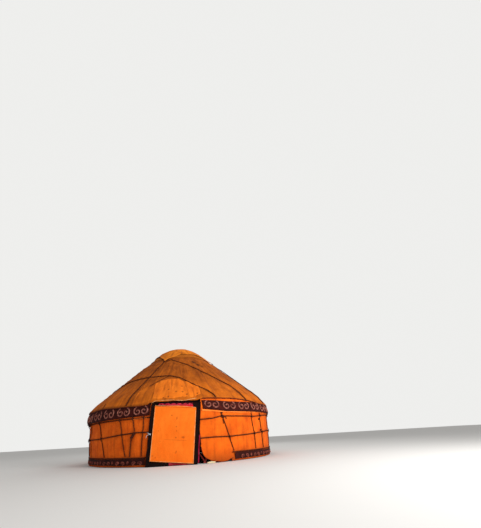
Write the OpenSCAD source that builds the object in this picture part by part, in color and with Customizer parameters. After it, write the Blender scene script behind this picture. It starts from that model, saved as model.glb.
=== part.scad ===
// Round felt tent with a lattice wall, a crown ring, bent roof poles, felts, bands and ropes.
// Millimetres, +Z up. The origin is on the ground at the centre; the doorway looks along -Y.
// A bearing is measured at the ground from the door's middle line (-Y), positive to +X.

/* [Size] */
// Radius of the wall felt's outer face
wall_r = 2800; // [2200:10:3400]
// Height at which the upright wall starts to bend inwards
shoulder_z = 1205; // [1000:5:1400]
// Bending radius of the shoulder between wall and roof
shoulder_r = 670; // [400:10:900]
// Slope of the roof above the horizon in degrees
roof_slope = 40.4; // [35:0.1:50]
// Radius at which the round crown begins
crown_r = 735; // [550:5:900]

/* [Lattice] */
// Width of a lattice bar
bar_w = 32; // [24:1:45]
// Thickness of a lattice bar
bar_t = 14; // [10:1:20]
// Height of the lattice wall
lattice_h = 1280; // [1000:5:1400]
// Sideways run of a bar from foot to head
bar_run = 900; // [700:10:1100]
// Bearing step from bar to bar and from pole to pole
pitch = 6; // [6:6:12]
// Radial step between the two layers of bars
layer_step = 10; // [8:1:13]
// Gap between the lattice and the poles tied to it
lattice_gap = 3; // [1:1:10]

/* [Roof poles] */
// Half depth of a pole at its foot and knee
pole_r = 17; // [12:1:24]
// Half depth of a pole at its upper end
pole_top_r = 12; // [11:1:17]
// Width of a pole
pole_w = 30; // [22:1:40]
// Half width of the square tip that enters the crown ring
tip_r = 9.5; // [7:0.5:11]
// Length of the tip inside the crown ring
tip_len = 30; // [20:1:34]
// Height at which a pole's foot starts on the lattice
pole_foot_z = 960; // [800:10:1100]
// Gap between the poles and the wall felt
pole_gap = 8; // [5:1:20]

/* [Crown] */
// Width of the crown ring's section
ring_w = 80; // [60:1:110]
// Height of the crown ring's section
ring_h = 76; // [60:1:100]
// Rounding of the crown ring's section
ring_round = 18; // [5:1:30]
// Space round a pole tip in its mortise
tip_clear = 1; // [0.5:0.1:3]
// Width of a crown bar
crown_bar_w = 30; // [20:1:45]
// Thickness of a crown bar
crown_bar_t = 22; // [14:1:32]
// Spacing of the three bars in a set
crown_bar_step = 180; // [120:5:240]
// Drop from the crown felt's reference line to the top of the upper bars
crown_drop = 13; // [8:1:40]
// Clear height between the two sets of bars where they cross
crown_bar_gap = 2; // [1:0.5:8]
// Depth to which a crown bar's end is let into the ring
bar_seat = 10; // [5:1:20]
// Gap between the crown ring and the felt above it
ring_gap = 4; // [2:1:10]

/* [Felts] */
// Thickness of the wall felts
felt_t = 12; // [8:1:20]
// Thickness of the roof felts
roof_felt_t = 12; // [8:1:20]
// Extra thickness of the roof felts' rolled lower hem
hem_t = 14; // [8:1:24]
// Height of the rolled hem
hem_h = 34; // [20:1:60]
// Height of the roof felts' lower edge
roof_edge_z = 1380; // [1300:2:1430]
// Height of the front roof felt's edge above the door frame
door_edge_gap = 26; // [20:1:60]
// Gap between the wall felts' upper edge and the roof felts' lower edge
edge_gap = 12; // [6:1:20]
// Gap between the ends of neighbouring felts
felt_seam = 6; // [2:1:15]
// Half side of the square crown cover
cover_half = 846; // [760:1:1000]
// Bearing of the crown cover's front corner
cover_turn = -20; // [-45:1:45]
// Radius of the loose front felt's lower corner
loose_r = 240; // [150:10:400]
// Height up to which that felt hangs loose
loose_top = 540; // [420:10:700]
// Gap at the ground between the right door post and the loose felt
loose_gap = 110; // [70:1:150]
// Bearing beyond the loose felt at which the foot band and its rope begin
foot_start = 30; // [26:0.5:36]

/* [Door] */
// Width of the door frame
door_w = 1190; // [900:10:1200]
// Height of the door frame
door_h = 1410; // [1300:5:1420]
// Width of the posts
post_w = 120; // [80:5:150]
// Sideways lean of the door from sill to lintel, as it stands in the photo
door_lean = 133; // [0:1:160]
// Depth of the door frame
frame_d = 110; // [80:5:140]
// Height of the lintel
lintel_h = 110; // [80:5:150]
// Height of the threshold
sill_h = 80; // [50:5:150]
// Width of the hanging door flap
flap_w = 1000; // [800:5:1020]
// Thickness of the door flap
flap_t = 12; // [8:1:18]
// Gap between the frame and the flap
flap_gap = 12; // [5:1:20]
// Width of the patterned strip over the flap
valance_w = 850; // [600:10:920]
// Height of the patterned strip at its middle
valance_h = 84; // [50:2:95]
// Height of the flap's lowest corner
flap_z = 26; // [10:1:150]
// Slope of the flap's hanging edge, lower on the right, in degrees
flap_tilt = 5.5; // [0:0.5:8]
// Drop from the top of the door frame to the middle of the flap's hanging edge
flap_drop = 134; // [118:1:160]
// Radius of the roll by which the flap hangs
flap_roll_r = 8; // [7:0.5:9]
// Length of that roll beyond each side of the flap
flap_roll_over = 10; // [4:1:20]
// Height from the flap's hanging edge to the patterned strip
valance_gap = 12; // [10:1:20]
// Space that felts and bands leave round the door frame
door_gap = 8; // [5:1:12]

/* [Bands and ropes] */
// Height of the patterned eave band
eave_band_h = 236; // [150:2:250]
// Drop from the roof felts' edge to that band
band_drop = 20; // [8:1:40]
// Thickness of the bands
band_t = 4; // [2:0.5:8]
// Height of the band along the foot of the wall
base_band_h = 135; // [100:5:200]
// Height of that band's lower edge
base_band_z = 45; // [10:5:80]
// Radius of the girth ropes
girth_rope_r = 12; // [6:0.5:14]
// Radius of the tie ropes
tie_rope_r = 10; // [5:0.5:12]
// Radius of the roof ropes
roof_rope_r = 12; // [6:0.5:14]
// Height of the rope along the base band
base_rope_z = 200; // [150:2:260]
// Gap between a rope and the felt or rope under it
rope_gap = 1; // [0.5:0.5:5]
// Gap between the door frame and the ropes that end beside it
rope_end_gap = 12; // [8:1:30]
// Distance from the shoulder's end up to the band tied round the poles
pole_band_start = 20; // [0:5:80]
// Width of that band
pole_band_w = 140; // [60:5:200]
// Distance from the shoulder's end up to the two ropes under the poles
pole_rope_start = 1020; // [600:10:1400]
// Spacing of those two ropes
pole_rope_step = 130; // [80:5:200]

/* [Hidden] */
$fn = 360;
small_fn = 48;
wall_seg = 48;
roof_seg = 45;
bar_end_h = 20;
end_gap = 12;
cut_over = 40;
cut_reach = 150;
lattice_split = 0.34;
tip_root = 4;
tip_end_gap = 2;
pole_stop = 6;
mortise_run = 30;
frame_in = 10;
frame_gap = 2;
cap_over = 4;
cap_low = 8;
cap_high = 6;
strip_in = 4;
roof_in = 2;
hem_over = 14;
cover_gap = 1;
band_gap = 2;
hem_bend = 8;
cut_steps = 6;
quarter = 90;
up_step = 10;
tie_flat = 4;
tie_ramp = 54;

// Reference line: upright wall, shoulder arc, straight roof, crown cap.
sh_x = wall_r - shoulder_r;
sh_turn = 90 - roof_slope;
knee_x = sh_x + shoulder_r * cos(sh_turn);
knee_z = shoulder_z + shoulder_r * sin(sh_turn);
roof_len = (knee_x - crown_r) / cos(roof_slope);
crown_z = knee_z + roof_len * sin(roof_slope);
cap_r = crown_r / sin(roof_slope);
cap_z = crown_z - cap_r * cos(roof_slope);
top_z = cap_z + cap_r;
arc_len = shoulder_r * sh_turn * PI / 180;

// Lattice: both families of bars lie on one ruled waist, so they meet exactly.
tilt = atan(bar_run / (lattice_h - bar_end_h));
line_h = lattice_h - bar_w * sin(tilt);
run = line_h * tan(tilt);
pole_off = felt_t + pole_gap + pole_r;
pole_x = wall_r - pole_off;
pole_in_x = sh_x + sqrt(pow(shoulder_r - pole_off - pole_r, 2) - pow(lattice_h - shoulder_z, 2));
bar_end_r = pole_in_x - lattice_gap - layer_step / 2 - bar_t / 2 - bar_w / 2 * run / 2 / pole_in_x;
waist_r = sqrt(bar_end_r * bar_end_r - run * run / 4);
bar_len = line_h / cos(tilt);

// Poles: foot, knee and a straight shaft aimed at the middle of the crown ring.
knee_r = shoulder_r - pole_off;
ring_r = crown_r - ring_w / 2;
ring_top_off = felt_t + ring_gap + (ring_w / 2 - ring_round) * sin(roof_slope)
    + (ring_h / 2 - ring_round) * cos(roof_slope) + ring_round;
ring_z = crown_z - (ring_top_off / cos(roof_slope)) + (crown_r - ring_r) * tan(roof_slope);
// The shaft leaves the knee tangentially and must meet the ring's middle.
to_ring = [ring_r - sh_x, ring_z - shoulder_z];
ring_dist = norm(to_ring);
pole_turn = atan2(to_ring[1], to_ring[0]) - acos(knee_r / ring_dist);
shaft_x = sh_x + knee_r * cos(pole_turn);
shaft_z = shoulder_z + knee_r * sin(pole_turn);
shaft_len = (shaft_x - ring_r - ring_w / 2 - pole_stop) / sin(pole_turn);
lintel_ang = asin((door_h + end_gap - shoulder_z) / (knee_r - pole_r));

// Crown bars: where two cross, each slopes by cross_dip over the other's width.
bar_apex = top_z - crown_drop - crown_bar_t / 2;
bar_rise = bar_apex - ring_z - ring_h / 2 + bar_seat;
bar_arc_r = (ring_r * ring_r + bar_rise * bar_rise) / (2 * bar_rise);
bar_half_deg = asin((ring_r - bar_seat) / bar_arc_r);
cross_dip = crown_bar_step * crown_bar_w / bar_arc_r;
bar_low = bar_apex - crown_bar_t - cross_dip - crown_bar_gap;

// Girth ropes: straight pieces, lifted so that their middles clear the felt.
girth_n = 72;
chord_sag = wall_r * (1 - cos(180 / girth_n));
girth_lift = rope_gap + chord_sag + girth_rope_r;
rope_max = wall_r + girth_lift + girth_rope_r;

// Door: it leans sideways, so each side's bearing depends on the height.
post_x = door_w / 2 - post_w / 2;
frame_y = wall_r - frame_in;
hinge_y = -(frame_y + flap_gap);
flap_top_z = door_h - flap_drop;
function lean(z) = door_lean * (z / door_h - 0.5);
function door_edge(side, z, gap) = asin((door_w / 2 + side * lean(z) + gap) / wall_r);
function flap_line(x) = flap_top_z - (x - lean(flap_top_z)) * tan(flap_tilt);
flap_h = (flap_top_z - flap_w / 2 * sin(flap_tilt) - flap_z) / cos(flap_tilt);
felt_end = asin((door_w / 2 - door_lean / 2 - cut_over) / wall_r);
lattice_end = asin((door_w / 2 - door_lean / 2 + end_gap) / waist_r);
loose_edge = door_edge(1, 0, loose_gap);
// Bearings at which neighbouring wall felts meet; the lattice's seams lie between two crossings.
function seam(k) = 180 + wall_seg * (k - 2.5);
function lattice_seam(k) = seam(k) + (k < 3 ? pitch : -pitch) / 4;

// Point of the reference line at distance s above the shoulder's start, moved out by d.
function line_pt(s, d) =
    s < 0 ? [wall_r + d, shoulder_z + s]
    : s < arc_len ? let (a = s / shoulder_r * 180 / PI)
        [sh_x + (shoulder_r + d) * cos(a), shoulder_z + (shoulder_r + d) * sin(a)]
    : let (t = s - arc_len)
        [knee_x - t * cos(roof_slope) + d * sin(roof_slope), knee_z + t * sin(roof_slope) + d * cos(roof_slope)];
function s_of_z(z) = z < shoulder_z ? z - shoulder_z : asin((z - shoulder_z) / shoulder_r) * PI / 180 * shoulder_r;
function s_of_r(r) = arc_len + (knee_x - r) / cos(roof_slope);
// World point at bearing b
function at(b, p) = [p[0] * sin(b), -p[0] * cos(b), p[1]];

// Turns a child drawn along +X to bearing b.
module bearing(b) {
    rotate([0, 0, b - 90]) children();
}

// Solid of revolution over a range of bearings.
module sweep(b0, b1) {
    rotate([0, 0, b0 - 90]) rotate_extrude(angle = b1 - b0) children();
}

// Stations from s0 to s1 along the reference line, close together where it bends.
function stations(s0, s1, n) = [for (i = [0 : n]) s0 + (s1 - s0) * i / n];
function path(ss, d) = [for (s = ss) line_pt(s, d)];
function back(v) = [for (i = [len(v) - 1 : -1 : 0]) v[i]];
// Closed outline between two offsets of the reference line.
module shell(ss, d0, d1) {
    polygon(concat(path(ss, d0), back(path(ss, d1))));
}

// Tube with flat sides along points; up[i] is the surface's outward direction there.
module tube(pts, ups, r, sides) {
    n = len(pts);
    function dirv(i) = let (a = pts[max(i - 1, 0)], b = pts[min(i + 1, n - 1)]) (b - a) / norm(b - a);
    function ringpt(i, k) = let (
        t = dirv(i),
        c = cross(t, ups[i]),
        side = c / norm(c),
        w = cross(side, t),
        a = 360 * k / sides)
        pts[i] + r * (cos(a) * side + sin(a) * w);
    polyhedron(
        points = [for (i = [0 : n - 1]) for (k = [0 : sides - 1]) ringpt(i, k)],
        faces = concat(
            [[for (k = [0 : sides - 1]) k]],
            [[for (k = [sides - 1 : -1 : 0]) (n - 1) * sides + k]],
            [for (i = [0 : n - 2]) for (k = [0 : sides - 1])
                [i * sides + k, (i + 1) * sides + k, (i + 1) * sides + (k + 1) % sides]],
            [for (i = [0 : n - 2]) for (k = [0 : sides - 1])
                [i * sides + k, (i + 1) * sides + (k + 1) % sides, i * sides + (k + 1) % sides]]));
}

// Rope on the felt: way is a list of [bearing, s]; lift is its centre's height over the line.
module felt_rope(way, lift, r, sides) {
    pts = [for (w = way) at(w[0], line_pt(w[1], lift))];
    ups = [for (w = way) let (q = at(w[0], line_pt(w[1], lift + up_step)) - at(w[0], line_pt(w[1], lift))) q / norm(q)];
    tube(pts, ups, r, sides);
}

// Wooden frame: lattice wall, roof poles and crown
// Height of a bar that leans to one side (s = 1 or -1) from bearing p, where it passes bearing t
function bar_z(p, s, t) = lattice_h / 2 + s * waist_r * tan(t - p) / tan(tilt);
// Bearing of the lattice's end beside the leaning door at height z, right (1) or left (-1)
function door_side(side, z) =
    (side < 0 ? 360 : 0) + side * (asin((door_w / 2 + side * lean(z) + end_gap) / waist_r) + lattice_split);
// Bearing at which a bar reaches that end, found in a few steps from t
function bar_cut(side, p, s, t, n) =
    n == 0 ? t : bar_cut(side, p, s, door_side(side, bar_z(p, s, t)), n - 1);
// Bars between bearings b0 and b1; side is 1 or -1 for a part that ends beside the door.
module lattice_part(b0, b1, side = 0) {
    end_deg = atan(run / 2 / waist_r);
    first = floor((b0 - end_deg) / pitch);
    last = ceil((b1 + end_deg) / pitch);
    cross = pitch / 2;
    margin = cross / 10;
    function low_end(z) = side > 0 ? door_side(1, z) : b0 + lattice_split;
    function high_end(z) = side < 0 ? door_side(-1, z) : b1 - lattice_split;
    // A bar is kept where it holds a crossing that the other bar holds too.
    function holds(p, s, t) = abs(t - p) < end_deg - margin
        && t > low_end(bar_z(p, s, t)) + margin && t < high_end(bar_z(p, s, t)) - margin;
    color([0.55, 0.1, 0.08])
    for (k = [first : last], s = [-1, 1]) {
        p = k * pitch;
        t0 = max(p - end_deg, side > 0 ? bar_cut(1, p, s, b0, cut_steps) : low_end(0));
        t1 = min(p + end_deg, side < 0 ? bar_cut(-1, p, s, b1, cut_steps) : high_end(0));
        kept = [for (c = [ceil((p - end_deg) / cross) : floor((p + end_deg) / cross)])
            if (holds(p, s, c * cross)) c];
        if (len(kept) > 0) {
            u0 = waist_r * tan(t0 - p);
            u1 = waist_r * tan(t1 - p);
            ca = (u0 + u1) / 2;
            l = (u1 - u0) / sin(tilt);
            bearing(p)
            translate([waist_r + s * layer_step / 2, ca, lattice_h / 2 + s * ca / tan(tilt)])
            rotate([-s * tilt, 0, 0])
            cube([bar_t, bar_w, l], center = true);
        }
    }
}
module lattice_front_right() { lattice_part(lattice_end, lattice_seam(0), 1); }
module lattice_right_front() { lattice_part(lattice_seam(0), lattice_seam(1)); }
module lattice_right_back() { lattice_part(lattice_seam(1), lattice_seam(2)); }
module lattice_back() { lattice_part(lattice_seam(2), lattice_seam(3)); }
module lattice_left_back() { lattice_part(lattice_seam(3), lattice_seam(4)); }
module lattice_left_front() { lattice_part(lattice_seam(4), lattice_seam(5)); }
module lattice_front_left() { lattice_part(lattice_seam(5), 360 - lattice_end, -1); }

module pole(b, short) {
    a0 = short ? lintel_ang : 0;
    n = 8;
    along = [-sin(pole_turn), cos(pole_turn)];
    out = [cos(pole_turn), sin(pole_turn)];
    end = [shaft_x, shaft_z] + shaft_len * along;
    foot = short ? [] : [[pole_x, pole_foot_z]];
    function knee(i, r) = let (a = a0 + (pole_turn - a0) * i / n) [sh_x + r * cos(a), shoulder_z + r * sin(a)];
    bearing(b) {
        rotate([90, 0, 0]) linear_extrude(height = pole_w, center = true) polygon(concat(
            [for (q = foot) q + [pole_r, 0]],
            [for (i = [0 : n]) knee(i, knee_r + pole_r)],
            [end + pole_top_r * out, end - pole_top_r * out],
            [for (i = [n : -1 : 0]) knee(i, knee_r - pole_r)],
            [for (q = foot) q - [pole_r, 0]]));
        translate([end[0], 0, end[1]]) rotate([0, -pole_turn, 0])
            translate([-tip_r, -tip_r, -tip_root]) cube([2 * tip_r, 2 * tip_r, tip_len + tip_root]);
    }
}
// Poles of one quarter, counted from the front; those over the door stand on its lintel.
function over_door(b) = cos(b) > 0
    && pole_x * abs(sin(b)) < door_w / 2 + door_lean / 2 + pole_w / 2 + end_gap;
module pole_set(q) {
    color([0.6, 0.12, 0.09])
    for (b = [pitch / 2 : pitch : 360 - pitch / 2])
        if (floor((b + quarter / 2) / quarter) % 4 == q) pole(b, over_door(b));
}
module roof_poles_front() { pole_set(0); }
module roof_poles_right() { pole_set(1); }
module roof_poles_back() { pole_set(2); }
module roof_poles_left() { pole_set(3); }

module crown_ring() {
    color([0.5, 0.09, 0.07])
    difference() {
        translate([0, 0, ring_z]) rotate_extrude() translate([ring_r, 0]) {
            square([ring_w, ring_h - 2 * ring_round], center = true);
            square([ring_w - 2 * ring_round, ring_h], center = true);
            for (x = [-1, 1], y = [-1, 1])
                translate([x * (ring_w / 2 - ring_round), y * (ring_h / 2 - ring_round)])
                circle(r = ring_round, $fn = small_fn);
        }
        for (b = [pitch / 2 : pitch : 360 - pitch / 2])
            bearing(b)
            translate([shaft_x, 0, shaft_z]) rotate([0, -pole_turn, 0])
            translate([-tip_r - tip_clear, -tip_r - tip_clear, shaft_len - mortise_run])
            cube([2 * (tip_r + tip_clear), 2 * (tip_r + tip_clear), mortise_run + tip_len + tip_end_gap]);
    }
}
module crown_bar(off, apex) {
    drop = bar_arc_r - sqrt(bar_arc_r * bar_arc_r - off * off);
    translate([0, off, apex - drop - bar_arc_r]) rotate([90, 0, 0]) rotate([0, 0, 90 - bar_half_deg])
        rotate_extrude(angle = 2 * bar_half_deg) translate([bar_arc_r, 0])
        square([crown_bar_t, crown_bar_w], center = true);
}
module crown_bars_lower() {
    color([0.55, 0.11, 0.08]) rotate([0, 0, 90])
    for (i = [-1 : 1]) crown_bar(i * crown_bar_step, bar_low);
}
module crown_bars_upper() {
    color([0.55, 0.11, 0.08])
    for (i = [-1 : 1]) crown_bar(i * crown_bar_step, bar_apex);
}

// Door frame and hanging flap
// Upright slab that leans with the door: from x0 to x1 at z0 to z1, its front at y0.
module leaning(x0, x1, z0, z1, y0, depth) {
    translate([0, y0 + depth, 0]) rotate([90, 0, 0]) linear_extrude(height = depth)
        polygon([[x0 + lean(z0), z0], [x1 + lean(z0), z0], [x1 + lean(z1), z1], [x0 + lean(z1), z1]]);
}
// Space that the felts and bands leave for the door frame, up to the height top.
module door_cut(top) {
    half = door_w / 2 + door_gap;
    leaning(-half, half, -cut_over, top, -wall_r - cut_reach, 2 * cut_reach + frame_d);
}
module door_post(side) {
    color([0.42, 0.08, 0.06])
    leaning(side * post_x - post_w / 2, side * post_x + post_w / 2, sill_h, door_h - lintel_h, -frame_y, frame_d);
}
module door_post_left() { door_post(-1); }
module door_post_right() { door_post(1); }
module door_lintel() {
    color([0.42, 0.08, 0.06]) {
        leaning(-door_w / 2, door_w / 2, door_h - lintel_h, door_h, -frame_y, frame_d);
        leaning(-door_w / 2 - cap_over, door_w / 2 + cap_over, door_h - cap_low, door_h + cap_high,
            -rope_max, rope_max - frame_y + frame_d - cap_over);
    }
}
module door_threshold() {
    color([0.42, 0.08, 0.06])
    leaning(-door_w / 2, door_w / 2, 0, sill_h, -frame_y, frame_d);
}
module door_flap() {
    roll = flap_w + 2 * flap_roll_over;
    color([0.95, 0.5, 0.15])
    translate([lean(flap_top_z), hinge_y - flap_t / 2, flap_top_z]) rotate([0, flap_tilt, 0]) {
        translate([-flap_w / 2, -flap_t / 2, -flap_h]) cube([flap_w, flap_t, flap_h]);
        translate([-roll / 2, 0, 0]) rotate([0, 90, 0]) cylinder(r = flap_roll_r, h = roll);
    }
}
// Its lower edge follows the flap, its upper edge starts under the lintel's cap on the left.
module door_valance() {
    mid = lean(flap_top_z);
    left = mid - valance_w / 2;
    right = mid + valance_w / 2;
    top_left = door_h - cap_low - strip_in;
    top_mid = flap_top_z + valance_gap + valance_h;
    color([0.7, 0.15, 0.15])
    translate([0, -frame_y - frame_gap, 0]) rotate([90, 0, 0]) linear_extrude(height = band_t)
        polygon([[left, flap_line(left) + valance_gap], [right, flap_line(right) + valance_gap],
            [right, 2 * top_mid - top_left], [left, top_left]]);
}

// Felts of wall, roof and crown
module wall_felt(b0, b1) {
    color([0.85, 0.42, 0.12])
    sweep(b0, b1)
        shell(concat([-shoulder_z], stations(0, s_of_z(roof_edge_z - edge_gap), 5)), -felt_t, 0);
}
s_half = felt_seam / 2 / wall_r * 180 / PI;
// Space beside the right post that the loose front felt leaves open, with a rounded lower corner
module loose_corner() {
    n = 10;
    depth = 2 * cut_over;
    bearing(loose_edge) translate([wall_r - felt_t - depth / 2, 0, 0]) rotate([90, 0, 90])
        linear_extrude(height = depth)
        polygon(concat(
            [[-cut_reach, -cut_over], [loose_r, -cut_over]],
            [for (i = [0 : n]) let (a = 90 * i / n) [loose_r * (1 - sin(a)), loose_r * (1 - cos(a))]],
            [[0, loose_top], [-cut_reach, loose_top + cut_over]]));
}
module wall_felt_front_right() {
    difference() {
        wall_felt(felt_end, seam(0) - s_half);
        door_cut(door_h + door_gap);
        loose_corner();
    }
}
module wall_felt_between(k) { wall_felt(seam(k) + s_half, seam(k + 1) - s_half); }
module wall_felt_right_front() { wall_felt_between(0); }
module wall_felt_right_back() { wall_felt_between(1); }
module wall_felt_back() { wall_felt_between(2); }
module wall_felt_left_back() { wall_felt_between(3); }
module wall_felt_left_front() { wall_felt_between(4); }
module wall_felt_front_left() {
    difference() {
        wall_felt(seam(5) + s_half, 360 - felt_end);
        door_cut(door_h + door_gap);
    }
}

module roof_felt(mid) {
    low = -roof_in - roof_felt_t;
    edge = s_of_z(roof_edge_z);
    hem = edge + hem_h;
    h = roof_seg / 2 - s_half;
    bend = stations(hem + hem_bend, arc_len, 8);
    color([0.78, 0.38, 0.12])
    sweep(mid - h, mid + h)
        polygon(concat(
            path([edge, edge + hem_h / 2, hem], hem_t - roof_in),
            path(concat(bend, [arc_len + roof_len]), -roof_in),
            back(path(concat([edge, edge + hem_h / 2], bend, [arc_len + roof_len]), low))));
}
// The front felt's edge goes up over the door.
module roof_felt_front() {
    difference() {
        roof_felt(0);
        door_cut(door_h + door_edge_gap);
    }
}
module roof_felt_front_right() { roof_felt(roof_seg); }
module roof_felt_right() { roof_felt(2 * roof_seg); }
module roof_felt_back_right() { roof_felt(3 * roof_seg); }
module roof_felt_back() { roof_felt(4 * roof_seg); }
module roof_felt_back_left() { roof_felt(5 * roof_seg); }
module roof_felt_left() { roof_felt(6 * roof_seg); }
module roof_felt_front_left() { roof_felt(7 * roof_seg); }

function cap_pt(a, d) = [(cap_r + d) * sin(a), cap_z + (cap_r + d) * cos(a)];
cover_corner = cover_half * sqrt(2);
module crown_cover() {
    n = 12;
    angles = [for (i = [0 : n]) roof_slope * (1 - i / n)];
    start = s_of_r(cover_corner + cut_reach);
    color([0.8, 0.4, 0.13])
    intersection() {
        rotate_extrude() polygon(concat(
            [line_pt(start, cover_gap)],
            [for (a = angles) cap_pt(a, cover_gap)],
            [for (a = back(angles)) cap_pt(a, cover_gap + felt_t)],
            [line_pt(start, cover_gap + felt_t)]));
        rotate([0, 0, cover_turn - 45])
        translate([-cover_half, -cover_half, knee_z]) cube([2 * cover_half, 2 * cover_half, top_z]);
    }
}

// Woven bands and the ropes inside
band_top = s_of_z(roof_edge_z - band_drop);
module eave_band() {
    color([0.2, 0.05, 0.06])
    difference() {
        sweep(felt_end, 360 - felt_end)
            shell(stations(band_top - eave_band_h, band_top, 6), band_gap, band_gap + band_t);
        door_cut(door_h + door_gap);
    }
}
module base_band() {
    color([0.25, 0.06, 0.06])
    difference() {
        sweep(foot_start, 360 - felt_end)
            translate([wall_r + band_gap / 2, base_band_z]) square([band_t, base_band_h]);
        door_cut(door_h + door_gap);
    }
}
// Both lie under the poles: the band close above their knees, the ropes half way up.
pole_low = pole_off + pole_r;
pole_band_at = [arc_len + pole_band_start, arc_len + pole_band_start + pole_band_w];
pole_rope_at = [arc_len + pole_rope_start, arc_len + pole_rope_start + pole_rope_step];
module pole_band() {
    color([0.7, 0.12, 0.14])
    rotate_extrude() shell(pole_band_at, -pole_low - 2 * band_t, -pole_low - band_t);
}
module pole_ropes() {
    color([0.16, 0.1, 0.07])
    for (s = pole_rope_at)
        rotate_extrude() translate(line_pt(s, -pole_low - 2.5 * roof_rope_r)) circle(r = roof_rope_r, $fn = small_fn);
}

// Ropes on the outside
girth_way = [[12, 553], [20.6, 564], [28, 558], [41.4, 582], [68, 664], [100, 672], [150, 655], [200, 665],
    [250, 655], [290, 655], [315, 666], [331, 727], [341, 759], [349, 750]];
upper_way = [[12, 972], [19.6, 994], [24.3, 1040], [48.4, 1030], [65, 1090], [110, 1065], [180, 1050], [250, 1066],
    [300, 1058], [331, 1080], [349, 1090]];
module girth_rope(way) {
    b0 = door_edge(1, way[0][1], rope_end_gap);
    b1 = 360 - door_edge(-1, way[len(way) - 1][1], rope_end_gap);
    felt_rope([for (i = [0 : girth_n]) let (b = b0 + (b1 - b0) * i / girth_n) [b, lookup(b, way) - shoulder_z]],
        girth_lift, girth_rope_r, 6);
}
module girth_rope_middle() { color([0.35, 0.2, 0.1]) girth_rope(girth_way); }
module girth_rope_upper() { color([0.35, 0.2, 0.1]) girth_rope(upper_way); }
module base_rope() {
    color([0.35, 0.2, 0.1])
    sweep(foot_start, 360 - door_edge(-1, base_rope_z, rope_end_gap))
    translate([wall_r + rope_gap + girth_rope_r, base_rope_z]) circle(r = girth_rope_r, $fn = small_fn);
}
// Tie ropes hang from the eave band's edge and step over both girth ropes on their way down
// to the rope along the foot: [bearing at the top, bearing at the foot].
ties = [[24.2, 31], [46, 48.4], [55, 57.6], [70, 73], [88, 90], [98, 101], [113, 110], [128, 131], [144, 142],
    [160, 163], [177, 174], [193, 196], [209, 206], [224, 227], [240, 237], [256, 259], [272, 270], [287, 290],
    [300, 298], [313.2, 319], [330.4, 334.6], [338.6, 337.4], [344.9, 343.9]];
tie_top = line_pt(band_top - eave_band_h, 0)[1] - rope_gap;
tie_foot = base_rope_z + girth_rope_r + tie_rope_r + rope_gap;
module tie_rope(t) {
    flat = girth_rope_r + tie_flat;
    ramp = flat + tie_ramp;
    low = rope_gap + tie_rope_r;
    high = girth_lift + girth_rope_r + rope_gap + tie_rope_r;
    function tie_b(z) = t[0] + (t[1] - t[0]) * (tie_top - z) / (tie_top - tie_foot);
    function crossing(way) = lookup(tie_b(lookup(t[0], way)), way);
    upper = crossing(upper_way);
    middle = crossing(girth_way);
    stops = [[tie_top, tie_top - upper < ramp ? high : low], [upper + flat, high], [upper - flat, high],
        [upper - ramp, low], [(upper + middle) / 2, low], [middle + ramp, low], [middle + flat, high],
        [middle - flat, high], [middle - ramp, low], [(middle + tie_foot) / 2, low], [tie_foot, low]];
    pts = [for (q = stops) at(tie_b(q[0]), [wall_r + q[1], q[0]])];
    ups = [for (q = stops) at(tie_b(q[0]), [1, 0])];
    tube(pts, ups, tie_rope_r, 5);
}
module tie_ropes() {
    color([0.35, 0.2, 0.1])
    for (t = ties) tie_rope(t);
}

// Roof ropes in quarters: [bearing, radius] on the roof.
function mix(a, b, f) = a + (b - a) * f;
module roof_rope(b0, way, lift) {
    n = rope_pieces;
    last = way[len(way) - 1][0];
    pts = [for (i = [0 : n]) let (f = i / n * last) [b0 + lookup(f, [for (w = way) [w[0], w[1]]]),
        lookup(f, [for (w = way) [w[0], w[2]]])]];
    felt_rope(pts, lift, roof_rope_r, 6);
}
rope_pieces = 24;
eave_s = s_of_z(roof_edge_z) + hem_h + hem_over;
corner_way = [[0, 0, s_of_r(cover_corner + 2 * roof_rope_r)], [1, -2.4, s_of_r(1774)], [2, -4.6, s_of_r(2349)], [3, -5.4, eave_s]];
spiral_way = [[0, -9.5, s_of_r(1130)], [1, 13.3, s_of_r(1434)], [2, 23.2, s_of_r(1713)], [3, 28.9, s_of_r(1852)],
    [4, 41.5, s_of_r(2339)], [5, 42.8, eave_s]];
arc_way = [[0, -52, s_of_r(1985)], [1, -34.7, s_of_r(1924)], [2, -5, s_of_r(1939)], [3, 3.7, s_of_r(2043)],
    [4, 18.8, s_of_r(2540)], [5, 21.9, eave_s]];
module roof_ropes() {
    // Straight pieces sink most where they bend over the shoulder.
    piece = roof_len / rope_pieces * 3 / 2;
    lift = -roof_in + rope_gap + piece * piece / 8 / shoulder_r + roof_rope_r;
    color([0.3, 0.17, 0.09])
    union() {
        for (k = [0 : 3]) roof_rope(cover_turn + 90 * k, corner_way, lift);
        for (k = [0, 1]) roof_rope(180 * k, spiral_way, lift + rope_gap);
        for (k = [0, 1]) roof_rope(180 * k, arc_way, lift + 2 * rope_gap);
    }
}

lattice_front_right();
lattice_right_front();
lattice_right_back();
lattice_back();
lattice_left_back();
lattice_left_front();
lattice_front_left();
roof_poles_front();
roof_poles_right();
roof_poles_back();
roof_poles_left();
crown_ring();
crown_bars_lower();
crown_bars_upper();
pole_band();
pole_ropes();
door_post_left();
door_post_right();
door_lintel();
door_threshold();
door_flap();
door_valance();
wall_felt_front_right();
wall_felt_right_front();
wall_felt_right_back();
wall_felt_back();
wall_felt_left_back();
wall_felt_left_front();
wall_felt_front_left();
roof_felt_front();
roof_felt_front_right();
roof_felt_right();
roof_felt_back_right();
roof_felt_back();
roof_felt_back_left();
roof_felt_left();
roof_felt_front_left();
crown_cover();
eave_band();
base_band();
girth_rope_middle();
girth_rope_upper();
base_rope();
tie_ropes();
roof_ropes();
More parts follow.
